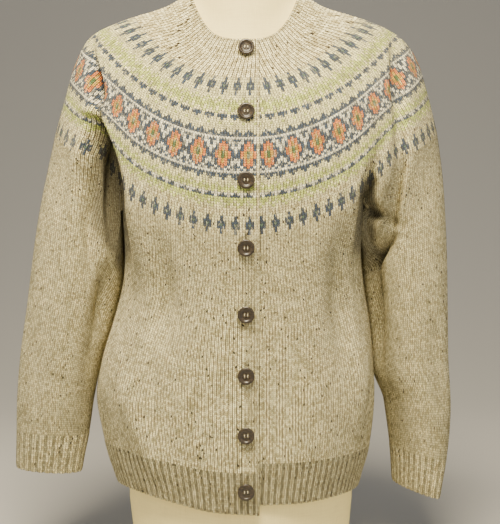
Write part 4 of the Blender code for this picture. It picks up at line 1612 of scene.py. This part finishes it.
class Strip(NamedTuple):
    """The tops of a piece's columns."""

    points: Array
    places: Array  # where on the piece each one hangs, as a turn or an angle
    under_arm: Array  # true for those that start under an arm
    hollow: Array  # how deep each one lies in the armhole's hollow

    def hang(
        self,
        surface_at: Callable[[Array], Array],
        foot: Array,
        rows: int,
        fade_over: float,
        shade_power: float = 1.0,
    ) -> tuple[Array, Array]:
        """Hangs rows of points on the strip, whose shape fades into the piece's own on the way down.

        Args:
            surface_at: gives the piece's own outside at a height for each column.
            foot: each column's lowest height.
            rows: how many rows of faces there are.
            fade_over: how far down the strip's shape reaches.
            shade_power: under 1 where the hollow's painted shade reaches further down than its shape.

        Returns:
            The points and the painted shade of each.
        """
        top = self.points[:, 2]
        moved = (self.points - surface_at(top)) * np.array([1.0, 1.0, 0.0])
        grid, shades = [], []
        for share in np.linspace(0.0, 1.0, rows + 1) ** CROWDING:
            heights = top + (foot - top) * share
            fade = 0.5 + 0.5 * np.cos(math.pi * np.clip((top - heights) / fade_over, 0.0, 1.0))
            grid.append(surface_at(heights) + fade[:, None] * moved)
            # painted shade of the armhole's hollow
            shades.append(hollow_shade(self.hollow * fade**shade_power))
        return np.array(grid), np.array(shades)


@dataclass
class SplitRound:
    """The yoke's last round, where the body and the sleeves part."""

    stitches: int = YOKE_BANDS[-1].stitches

    def __post_init__(self) -> None:
        """Finds the round's columns, the corners of its armholes and the shares of the way under an arm."""
        self.turns, self.points = yoke_round(SPLIT_DROP, self.stitches * FLAT_COLUMNS)
        corners = (ARM_FRONT, ARM_BACK, 360.0 - ARM_BACK, 360.0 - LEFT_ARM_FRONT)
        columns = [stitch_edge(self.turns, corner) for corner in corners]
        self.front_right, self.back_right, self.back_left, self.front_left = columns
        self.hollow = crease_depth(SPLIT_DROP, self.turns)
        self.under_shares = np.linspace(0.0, 1.0, UNDERARM_STITCHES * FLAT_COLUMNS + 1)[1:-1]

    def underarm(self, front: int, back: int, side: int) -> Array:
        """Points under an arm, from the armhole's front corner to its back one.

        Args:
            front: the front corner's column.
            back: the back corner's column.
            side: -1 for the wearer's right.

        Returns:
            The points, without the corners.
        """
        share = self.under_shares[:, None]
        start, end = self.points[front], self.points[back]
        line = start + (end - start) * smooth_step(share)
        arch = np.sin(math.pi * share) ** UNDERARM_ARCH
        middle = (start + end) / 2
        return line + arch * np.array([side * UNDERARM_REACH - middle[0], 0.0, UNDERARM_HEIGHT - middle[2]])

    def body_strip(self) -> Strip:
        """The top of the body from the right front's edge round to the left front's edge.

        Returns:
            The strip.
        """
        corners = (0, ARM_FRONT, ARM_BACK, 360 - ARM_BACK, 360 - LEFT_ARM_FRONT, 360)
        below = (0, BODY_AT_ARM_FRONT, BODY_AT_ARM_BACK, 360 - BODY_AT_ARM_BACK, 360 - BODY_AT_ARM_FRONT, 360)
        inside = (self.turns > 0) & (self.turns < 360)
        places = np.where(inside, np.interp(self.turns, corners, below), self.turns)
        share = self.under_shares
        under = BODY_AT_ARM_FRONT + (BODY_AT_ARM_BACK - BODY_AT_ARM_FRONT) * share
        right, left = slice(0, self.front_right + 1), slice(self.front_left, None)
        middle = slice(self.back_right, self.back_left + 1)
        right_arm = self.underarm(self.front_right, self.back_right, -1)
        left_arm = self.underarm(self.front_left, self.back_left, 1)[::-1]
        lengths = [len(places[right]), len(under), len(places[middle]), len(under), len(places[left])]
        right_hollow = self.hollow[self.front_right] * (1.0 - share)
        left_hollow = self.hollow[self.front_left] * share
        hollows = (self.hollow[right], right_hollow, self.hollow[middle], left_hollow, self.hollow[left])
        return Strip(
            np.concatenate([self.points[right], right_arm, self.points[middle], left_arm, self.points[left]]),
            np.concatenate([places[right], under, places[middle], 360 - under[::-1], places[left]]),
            np.repeat([False, True, False, True, False], lengths),
            np.concatenate(hollows),
        )

    def sleeve_strip(self, side: int) -> Strip:
        """The top of a sleeve, from the armhole's front corner over the shoulder and back under the arm.

        Args:
            side: -1 for the wearer's right.

        Returns:
            The strip, whose last column meets its first.
        """
        if side < 0:
            arc = np.arange(self.front_right, self.back_right + 1)
            turns = self.turns[arc]
        else:
            arc = np.arange(self.back_left, self.front_left + 1)[::-1]
            turns = 360.0 - self.turns[arc]
        beneath = self.underarm(arc[0], arc[-1], side)[::-1]
        share = self.under_shares
        known = (turns[0], *SLEEVE_TURNS, turns[-1])
        angles = np.interp(turns, known, SLEEVE_ANGLES)
        around = SLEEVE_ANGLES[-1] - (360.0 - 2 * SLEEVE_ANGLES[0]) * share
        return Strip(
            np.concatenate([self.points[arc], beneath]),
            np.concatenate([angles, around]),
            np.repeat([False, True], [len(arc), len(beneath)]),
            np.concatenate([self.hollow[arc], self.hollow[arc[0]] * share]),
        )


def stitch_edge(places: Array, place: float) -> int:
    """The column between two stitches that is nearest to a place."""
    return FLAT_COLUMNS * int(np.argmin(np.abs(places[::FLAT_COLUMNS] - place)))


def body_edges(heights: Array, places: Array) -> Array:
    """Keeps the width of both fronts' laps at each height.

    Args:
        heights: the height of each column.
        places: the turn of each column at its top.

    Returns:
        The turns at those heights.
    """
    level = row_at(BODY_LEVELS, heights)
    over = -body_turn(LAP_OVER, level.left[0])
    under = body_turn(LAP_UNDER, level.right[-1])
    moved = np.where(places < 0, places * over / min(places[0], -TINY_TURN), places)
    past = (places - 360) / max(places[-1] - 360, TINY_TURN)
    return np.where(places > 360, 360 + past * under, moved)


@dataclass
class Body:
    """The two fronts and the back under the yoke, in plain knitting."""

    split: SplitRound
    rows: int = 100
    side_turns: Span = (90.0, 270.0)  # where the back meets the fronts

    def build(self) -> list[Piece]:
        """Builds the right front, the back and the left front, from the yoke down to the hem band.

        Returns:
            The three pieces.
        """
        strip = self.split.body_strip()
        places = strip.places
        foot = row_at(HEM, places).z + HEM_DEPTH
        grid, shade = strip.hang(
            lambda heights: body_surface(heights, body_edges(heights, places)), foot, self.rows, BODY_FADE
        )
        grid[..., 0] += np.where(strip.under_arm, SEAM * np.sign(np.sin(np.radians(places))), 0.0)
        right, left = (stitch_edge(places, turn) for turn in self.side_turns)
        panels = (("front_right", 0, right), ("back", right, left), ("front_left", left, len(places) - 1))
        pieces = []
        for name, start, end in panels:
            panel = grid[:, start : end + 1]
            knitting = Knitting(panel, (end - start) / FLAT_COLUMNS, row_share=GAUGE_ROWS)
            knitting.groove_columns(WALE_DEPTH)
            # painted shade of the armholes' hollows
            knitting.shade += shade[:, start : end + 1]
            if name == "front_right":
                knitting.cut_slits(button_middles())
                knitting.roll_edge(1, at_end=False)
            pieces.append(add_tweed(name, knitting))
        return pieces


@dataclass(frozen=True)
class Ribbing:
    """A rib's section: two knit stitches on its crown and a purl stitch in its valley."""

    heights: tuple[float, ...] = (-0.42, 0.0, -0.16, 0.0, -0.42, -1.15)
    # painted shade across the section, darkest in the purl valley
    shades: tuple[float, ...] = (0.3, 0.0, 0.06, 0.0, 0.3, 1.0)
    stitches: int = 3
    drop: float = 0.7  # how much lower the foot of a light column hangs than a dark one's

    def shape(self, knitting: Knitting) -> None:
        """Raises the ribs of a band whose columns are those of the section and paints shade into their
        valleys.

        Args:
            knitting: the band, from its seam down to its edge.
        """
        which = np.arange(knitting.points.shape[1]) % len(self.heights)
        heights, shades = np.array(self.heights)[which], np.array(self.shades)[which]
        knitting.relief += heights
        knitting.shade += shades
        knitting.points[-1, :, 2] -= self.drop * (1.0 - shades)
        # painted shade along the picked-up row
        knitting.shade[0] += PICK_UP_SHADE
        knitting.roll_edge(0, at_end=True)


@dataclass
class HemRib:
    """The ribbed band round the hem, open at the front lap."""

    ribs: int = 122
    rows: int = 18
    # painted shade, deeper than a cuff's and on the crowns too, so the hem band is darker where less light
    # reaches it
    section: Ribbing = Ribbing(shades=(0.55, 0.14, 0.22, 0.14, 0.55, 1.15))

    def build(self) -> Piece:
        """Builds the band from the body down to its edge.

        Returns:
            The band.
        """
        section = self.section
        edge_height = float(row_at(HEM, 0.0).z) + HEM_DEPTH / 2
        level = row_at(BODY_LEVELS, edge_height)
        first = -float(body_turn(LAP_OVER, level.left))
        last = 360.0 + float(body_turn(LAP_UNDER, level.right))
        columns = self.ribs * len(section.heights)
        turns = even_places(lambda places: body_surface(edge_height, places), first, last, columns + 1)
        rows = []
        for share in np.linspace(1.0, 0.0, self.rows + 1):
            heights = row_at(HEM, turns).z + HEM_DEPTH * share
            rows.append(body_surface(heights, body_edges(heights, turns)))
        knitting = Knitting(np.array(rows), self.ribs * section.stitches)
        section.shape(knitting)
        knitting.roll_edge(1, at_end=False)
        return add_tweed("hem_rib", knitting)


@dataclass
class Sleeve:
    """A sleeve and its ribbed cuff."""

    side: int  # -1 for the wearer's right
    levels: tuple[SleeveLevel, ...]
    folds: tuple[Fold, ...]
    split: SplitRound
    cuff_top: float
    cuff_tilt: float  # how much higher the cuff's outer side lies than its middle
    rows: int = 118
    ribs: int = 24
    cuff_rows: int = 17
    touch: float = -0.7  # from the body's plain section to the sleeve's inner side where they lie together
    apart_from: float = 205.0  # the height up to which they are apart
    apart_over: float = 45.0  # the height over which they come together
    # how slowly the painted shade of the armhole's hollow fades down the sleeve
    shade_power: float = 0.5
    section: Ribbing = Ribbing()

    @property
    def name(self) -> str:
        """The side's name."""
        return "right" if self.side < 0 else "left"

    def surface(self, heights: Any, angles: Array) -> Array:
        """The sleeve's outside; angle 0 is its outer edge and 90 its front.

        Args:
            heights: heights of the points.
            angles: their angles round the sleeve.

        Returns:
            The points.
        """
        level = row_at(self.levels, heights)
        body = row_at(BODY_LEVELS, heights)
        beside = (body.right if self.side < 0 else body.left) + self.touch
        close = smooth_step((np.asarray(heights, float) - self.apart_from) / self.apart_over)
        inner = level.inner - close * np.maximum(level.inner - beside, 0.0)
        sine, cosine = directions(angles)
        push = fold_push(self.folds, np.mod(angles + 180.0, 360.0) - 180.0, heights)
        across = (level.outer + inner) / 2 + ((level.outer - inner) / 2 + push) * cosine
        forward = level.middle - (level.depth + push) * sine + level.lean * cosine
        return np.stack([self.side * across, forward, np.broadcast_to(heights, across.shape)], -1)

    def build(self) -> Piece:
        """Builds the sleeve from the yoke and the underarm down to its cuff.

        Returns:
            The sleeve.
        """
        strip = self.split.sleeve_strip(self.side)
        places = strip.places
        foot = self.cuff_top + self.cuff_tilt * np.cos(np.radians(places))
        grid, shade = strip.hang(
            lambda heights: self.surface(heights, places), foot, self.rows, SLEEVE_FADE, self.shade_power
        )
        grid[..., 0] += np.where(strip.under_arm, self.side * SEAM, 0.0)
        knitting = Knitting(grid, grid.shape[1] / FLAT_COLUMNS, closed=True, row_share=GAUGE_ROWS)
        knitting.groove_columns(WALE_DEPTH)
        # painted shade of the armhole's hollow
        knitting.shade += shade
        return add_tweed(f"sleeve_{self.name}", knitting)

    def build_cuff(self) -> Piece:
        """Builds the cuff from the sleeve down to its edge.

        Returns:
            The cuff.
        """
        section = self.section
        columns = self.ribs * len(section.heights)
        angles = even_places(lambda places: self.surface(self.cuff_top, places), 0.0, 360.0, columns + 1)[:-1]
        rows = []
        for share in np.linspace(0.0, 1.0, self.cuff_rows + 1):
            heights = self.cuff_top - CUFF_DEPTH * share + self.cuff_tilt * np.cos(np.radians(angles))
            rows.append(self.surface(heights, angles))
        knitting = Knitting(np.array(rows), self.ribs * section.stitches, closed=True)
        section.shape(knitting)
        return add_tweed(f"cuff_{self.name}", knitting)


@dataclass
class Button:
    """A turned four-hole button with a raised rim, and the thread that sews it on."""

    radius: float = 9.5
    thick: float = 3.6
    hole: float = 0.95  # its radius
    hole_place: float = 1.75  # from the middle, across and up
    hole_sides: int = 16
    thread: float = 0.55  # its thickness
    thread_lift: float = 0.3  # how far its middle lies above the button's face
    thread_dip: float = 1.1  # how far its ends sink into the holes
    thread_tuck: float = 0.1  # the share by which they come nearer together
    thread_cuts: int = 7
    thread_sides: int = 10
    hang: float = 0.7  # how far it turns from the cloth's slope to upright, from 0 to 1
    steps: int = 48
    crease: float = 38.0  # degrees from which an edge is sharp

    # Half the section from the middle of its face over its rim to its back: shares of radius and thickness.
    outline: tuple[tuple[float, float], ...] = (
        (0.0, 0.60),
        (0.34, 0.59),
        (0.52, 0.60),
        (0.62, 0.66),
        (0.68, 0.84),
        (0.74, 0.97),
        (0.80, 1.0),
        (0.88, 0.97),
        (0.95, 0.88),
        (0.99, 0.72),
        (1.0, 0.56),
        (0.98, 0.38),
        (0.90, 0.14),
        (0.78, 0.03),
        (0.55, 0.0),
        (0.0, 0.0),
    )

    def disc(self) -> Mesh:
        """Turns the button and drills its holes.

        Returns:
            The mesh, lying on its back at the origin.
        """
        work = bmesh.new()
        verts = [
            work.verts.new((across * self.radius * MM, 0.0, height * self.thick * MM))
            for across, height in self.outline
        ]
        edges = [work.edges.new(pair) for pair in zip(verts, verts[1:])]
        bmesh.ops.spin(
            work,
            geom=verts + edges,
            cent=(0, 0, 0),
            axis=(0, 0, 1),
            angle=2 * math.pi,
            steps=self.steps,
            use_merge=True,
        )
        bmesh.ops.remove_doubles(work, verts=work.verts, dist=MERGE)
        bmesh.ops.recalc_face_normals(work, faces=work.faces)
        drill = bmesh.new()
        for across in (-self.hole_place, self.hole_place):
            for up in (-self.hole_place, self.hole_place):
                place = Matrix.Translation(Vector((across, up, 0.5 * self.thick)) * MM)
                add_rod(drill, self.hole, 2 * self.thick, self.hole_sides, place)
        return cut_mesh(made_mesh("button_blank", work), made_mesh("button_drills", drill))

    def threads(self) -> Mesh:
        """Two strands of thread, each from an upper hole down to the one below it.

        Returns:
            The strands' mesh, in the button's own place.
        """
        work = bmesh.new()
        top = self.outline[0][1] * self.thick + self.thread_lift
        upright = Matrix.Rotation(math.radians(90), 4, "X")
        for across in (-self.hole_place, self.hole_place):
            for offset in (-self.thread / 2, self.thread / 2):
                place = Matrix.Translation(Vector((across + offset, 0.0, top)) * MM)
                add_rod(work, self.thread / 2, 2 * self.hole_place, self.thread_sides, place @ upright)
        reach = self.hole_place * MM
        runs = [edge for edge in work.edges if abs(edge.verts[0].co.y - edge.verts[1].co.y) > reach]
        bmesh.ops.subdivide_edges(work, edges=runs, cuts=self.thread_cuts)
        for vert in work.verts:
            share = vert.co.y / reach
            vert.co.z -= self.thread_dip * MM * share**6
            vert.co.y *= 1.0 - self.thread_tuck * share**4
        return made_mesh("threads", work)

    def build_all(self) -> list[Piece]:
        """Sets a button on each of the solids that stand for one.

        Returns:
            The buttons and their threads.
        """
        kinds = (("disc", self.disc(), Horn()), ("thread", self.threads(), SewingThread()))
        pieces = []
        for number in range(1, BUTTONS + 1):
            node = f"button_{number}"
            place = button_place(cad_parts[node], self.radius, self.hang)
            for kind, source, finish in kinds:
                mesh = source.copy()
                mesh.transform(place)
                mesh.shade_smooth()
                mesh.set_sharp_from_angle(angle=math.radians(self.crease))
                replaced = [node] if kind == "disc" else []
                pieces.append(add_piece(f"{node}_{kind}", mesh, finish, replaced))
        return pieces


def add_rod(work: Work, radius: float, length: float, sides: int, place: Matrix) -> None:
    """Adds a round rod.

    Args:
        work: the mesh under work.
        radius: the rod's radius in millimetres.
        length: its length in millimetres.
        sides: how many sides it has.
        place: where its middle lies and how it is turned, in metres.
    """
    bmesh.ops.create_cone(
        work,
        cap_ends=True,
        segments=sides,
        radius1=radius * MM,
        radius2=radius * MM,
        depth=length * MM,
        matrix=place,
    )


def cut_mesh(blank: Mesh, cutter: Mesh) -> Mesh:
    """Cuts one mesh out of another.

    Args:
        blank: the mesh to be cut.
        cutter: the closed mesh taken out of it.

    Returns:
        The cut mesh.
    """
    scene = bpy.context.scene
    objects = [bpy.data.objects.new(mesh.name, mesh) for mesh in (blank, cutter)]
    for item in objects:
        scene.collection.objects.link(item)
    cut = objects[0].modifiers.new("cut", "BOOLEAN")
    cut.operation = "DIFFERENCE"
    cut.object = objects[1]
    seen = objects[0].evaluated_get(bpy.context.evaluated_depsgraph_get())
    result = bpy.data.meshes.new_from_object(seen)
    for item in objects:
        bpy.data.objects.remove(item)
    return result


def node_points(node: Piece) -> Array:
    """The points of a solid, in metres."""
    return read_values(node.data.vertices, "co", each=3).reshape(-1, 3)


def button_middles() -> list[Array]:
    """The buttons' middles in millimetres, from the neck down."""
    nodes = (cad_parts[f"button_{number}"] for number in range(1, BUTTONS + 1))
    return [node_points(node).mean(axis=0) / MM for node in nodes]


def button_place(node: Piece, radius: float, hang: float) -> Matrix:
    """Where a button's back lies and how it faces: it hangs nearer to upright than the cloth under it.

    Args:
        node: the button's solid, whose back lies flat on the cloth.
        radius: the button's radius in millimetres.
        hang: how far it turns from the cloth's slope to upright, from 0 to 1.

    Returns:
        The matrix from a button lying at the origin to its place.
    """
    points = node_points(node)
    middle = points.mean(axis=0)
    _values, axes = np.linalg.eigh(np.cov((points - middle).T))
    facing = axes[:, 0] if axes[1, 0] < 0 else -axes[:, 0]
    depth = ((points - middle) @ facing).min()
    centre = 0.5 * (points.min(axis=0) + points.max(axis=0))
    centre += facing * (depth - (centre - middle) @ facing)
    turned = (1.0 - hang) * facing + hang * np.array([0.0, -1.0, 0.0])
    turned /= np.linalg.norm(turned)
    lift = radius * MM * math.sqrt(max(0.0, 1.0 - float(turned @ facing) ** 2))
    turn = Vector(turned).to_track_quat("Z", "Y")
    return Matrix.Translation(centre + lift * facing) @ turn.to_matrix().to_4x4()


@dataclass
class DressForm:
    """The limbless form in linen, finer than its solid but of the same shape."""

    columns: int = 144
    crease: float = 60.0  # degrees from which an edge is sharp

    def rings(self) -> Array:
        """The form's rounds from its neck's top to its foot.

        Returns:
            The points, in rounds by columns.
        """
        turns = np.arange(self.columns) * 360.0 / self.columns
        drops = np.array(FORM_SHOULDER_DROPS)
        all_turns = np.broadcast_to(turns, (len(drops), len(turns)))
        shoulders = ring_points(row_at(YOKE, drops[:, None]), all_turns)
        from_front = np.minimum(turns, 360.0 - turns)
        near_lap = smooth_step((FORM_LAP_TURN + FORM_LAP_FADE - from_front) / FORM_LAP_FADE)
        room = WALL + FORM_CLEAR + (WALL + LAP_GAP) * near_lap
        shoulders = shoulders - room[:, None] * outward(shoulders, closed=True)
        rows = [ring_points(ring, turns) for ring in FORM_ABOVE]
        rows += list(shoulders)
        rows += [ring_points(ring, turns) for ring in FORM_BELOW]
        return np.array(rows)

    def build(self) -> Piece:
        """Builds the form with a flat top and a flat foot.

        Returns:
            The form.
        """
        work = new_knitting()
        Knitting(self.rings(), self.columns, closed=True).lay(work)
        bmesh.ops.remove_doubles(work, verts=work.verts, dist=MERGE)
        rims = [edge for edge in work.edges if len(edge.link_faces) == 1]
        bmesh.ops.holes_fill(work, edges=rims, sides=0)
        bmesh.ops.recalc_face_normals(work, faces=work.faces)
        mesh = made_mesh("dress_form", work)
        mesh.shade_smooth()
        mesh.set_sharp_from_angle(angle=math.radians(self.crease))
        return add_piece("dress_form_linen", mesh, Linen(), ["dress_form"])


# ---------------------------------------------------------------------------------------------------------
# Studio


class SoftLight(NamedTuple):
    """A square soft light: its name, its place, its side, its power in watts and its colour."""

    name: str
    place: tuple[float, float, float]
    size: float
    power: float
    colour: str


@dataclass
class Studio:
    """A pale paper sweep, soft lights, and a camera at the photograph's angle."""

    lights: tuple[SoftLight, ...] = (
        SoftLight("key", (-100.0, -740.0, 1540.0), 600.0, 58.0, "#fff0d0"),
        SoftLight("fill", (1300.0, -1900.0, 700.0), 1800.0, 15.5, "#fbf8f0"),
        SoftLight("side", (-1900.0, -900.0, 900.0), 1400.0, 7.5, "#fff8ee"),
    )
    lit_place: tuple[float, float, float] = (0.0, 0.0, 420.0)  # the chest, which all of them face
    air_colour: str = "#d9dadb"
    air_strength: float = 0.32
    camera_place: tuple[float, float, float] = (7.3, -1200.0, 420.0)
    camera_pitch: float = 2.15  # degrees down
    lens: float = 67.6
    sensor: float = 36.0
    nearest: float = 50.0
    sweep_half: float = 3600.0
    sweep_back: float = 3300.0
    sweep_height: float = 4200.0
    sweep_round: float = 2300.0
    sweep_segments: int = 24

    def build(self) -> None:
        """Builds the sweep, the lights, the air's light and the camera."""
        self.build_sweep()
        for light in self.lights:
            self.add_light(light)
        world = bpy.data.worlds.new("studio")
        world.use_nodes = True
        air = {"Color": linear(self.air_colour), "Strength": self.air_strength}
        set_shader(world.node_tree.nodes["Background"], air)
        bpy.context.scene.world = world
        self.add_camera()

    def build_sweep(self) -> None:
        """Builds the floor that curves up into a backdrop."""
        work = bmesh.new()
        places = (
            (-self.sweep_half, 0.0),
            (self.sweep_back, 0.0),
            (self.sweep_back, self.sweep_height),
        )
        verts = [work.verts.new((-self.sweep_half * MM, y * MM, z * MM)) for y, z in places]
        edges = [work.edges.new(pair) for pair in zip(verts, verts[1:])]
        made = bmesh.ops.extrude_edge_only(work, edges=edges)["geom"]
        moved = [item for item in made if isinstance(item, Vert)]
        bmesh.ops.translate(work, verts=moved, vec=(2 * self.sweep_half * MM, 0.0, 0.0))
        back = self.sweep_back * MM
        corner = [
            edge
            for edge in work.edges
            if all(abs(vert.co.y - back) < MERGE and abs(vert.co.z) < MERGE for vert in edge.verts)
        ]
        bmesh.ops.bevel(
            work,
            geom=corner,
            affect="EDGES",
            offset=self.sweep_round * MM,
            segments=self.sweep_segments,
            profile=0.5,
            material=-1,
        )
        bmesh.ops.recalc_face_normals(work, faces=work.faces)
        mesh = made_mesh("sweep", work)
        mesh.shade_smooth()
        mesh.materials.append(StudioPaper().material())
        sweep = bpy.data.objects.new("sweep", mesh)
        bpy.context.scene.collection.objects.link(sweep)

    def add_light(self, light: SoftLight) -> None:
        """Adds a soft light that faces the chest.

        Args:
            light: what it is and where it stands.
        """
        lamp = bpy.data.lights.new(light.name, "AREA")
        lamp.shape = "SQUARE"
        lamp.size = light.size * MM
        lamp.energy = light.power
        lamp.color = linear(light.colour)[:3]
        stand = bpy.data.objects.new(light.name, lamp)
        bpy.context.scene.collection.objects.link(stand)
        stand.location = Vector(light.place) * MM
        stand.rotation_mode = "QUATERNION"
        towards = Vector(self.lit_place) * MM - stand.location
        stand.rotation_quaternion = towards.to_track_quat("-Z", "Y")

    def add_camera(self) -> None:
        """Adds the camera in front of the form, just above its middle."""
        lens = bpy.data.cameras.new("camera")
        lens.lens = self.lens
        lens.sensor_width = self.sensor
        lens.clip_start = self.nearest * MM
        camera = bpy.data.objects.new("camera", lens)
        bpy.context.scene.collection.objects.link(camera)
        camera.location = Vector(self.camera_place) * MM
        camera.rotation_euler = (math.radians(90.0 - self.camera_pitch), 0.0, 0.0)
        bpy.context.scene.camera = camera


def main() -> None:
    """Builds the pieces in order and dresses the studio."""
    logging.basicConfig(level=logging.INFO, format="%(name)s %(message)s")
    DressForm().build()
    Neckband().build()
    RoundYoke().build()
    split = SplitRound()
    Body(split).build()
    HemRib().build()
    for sleeve in (
        Sleeve(-1, RIGHT_SLEEVE, RIGHT_SLEEVE_FOLDS, split, cuff_top=171.0, cuff_tilt=2.0),
        Sleeve(1, LEFT_SLEEVE, LEFT_SLEEVE_FOLDS, split, cuff_top=146.0, cuff_tilt=-3.0),
    ):
        sleeve.build()
        sleeve.build_cuff()
    Button().build_all()
    Studio().build()


if __name__ == "__main__":
    main()
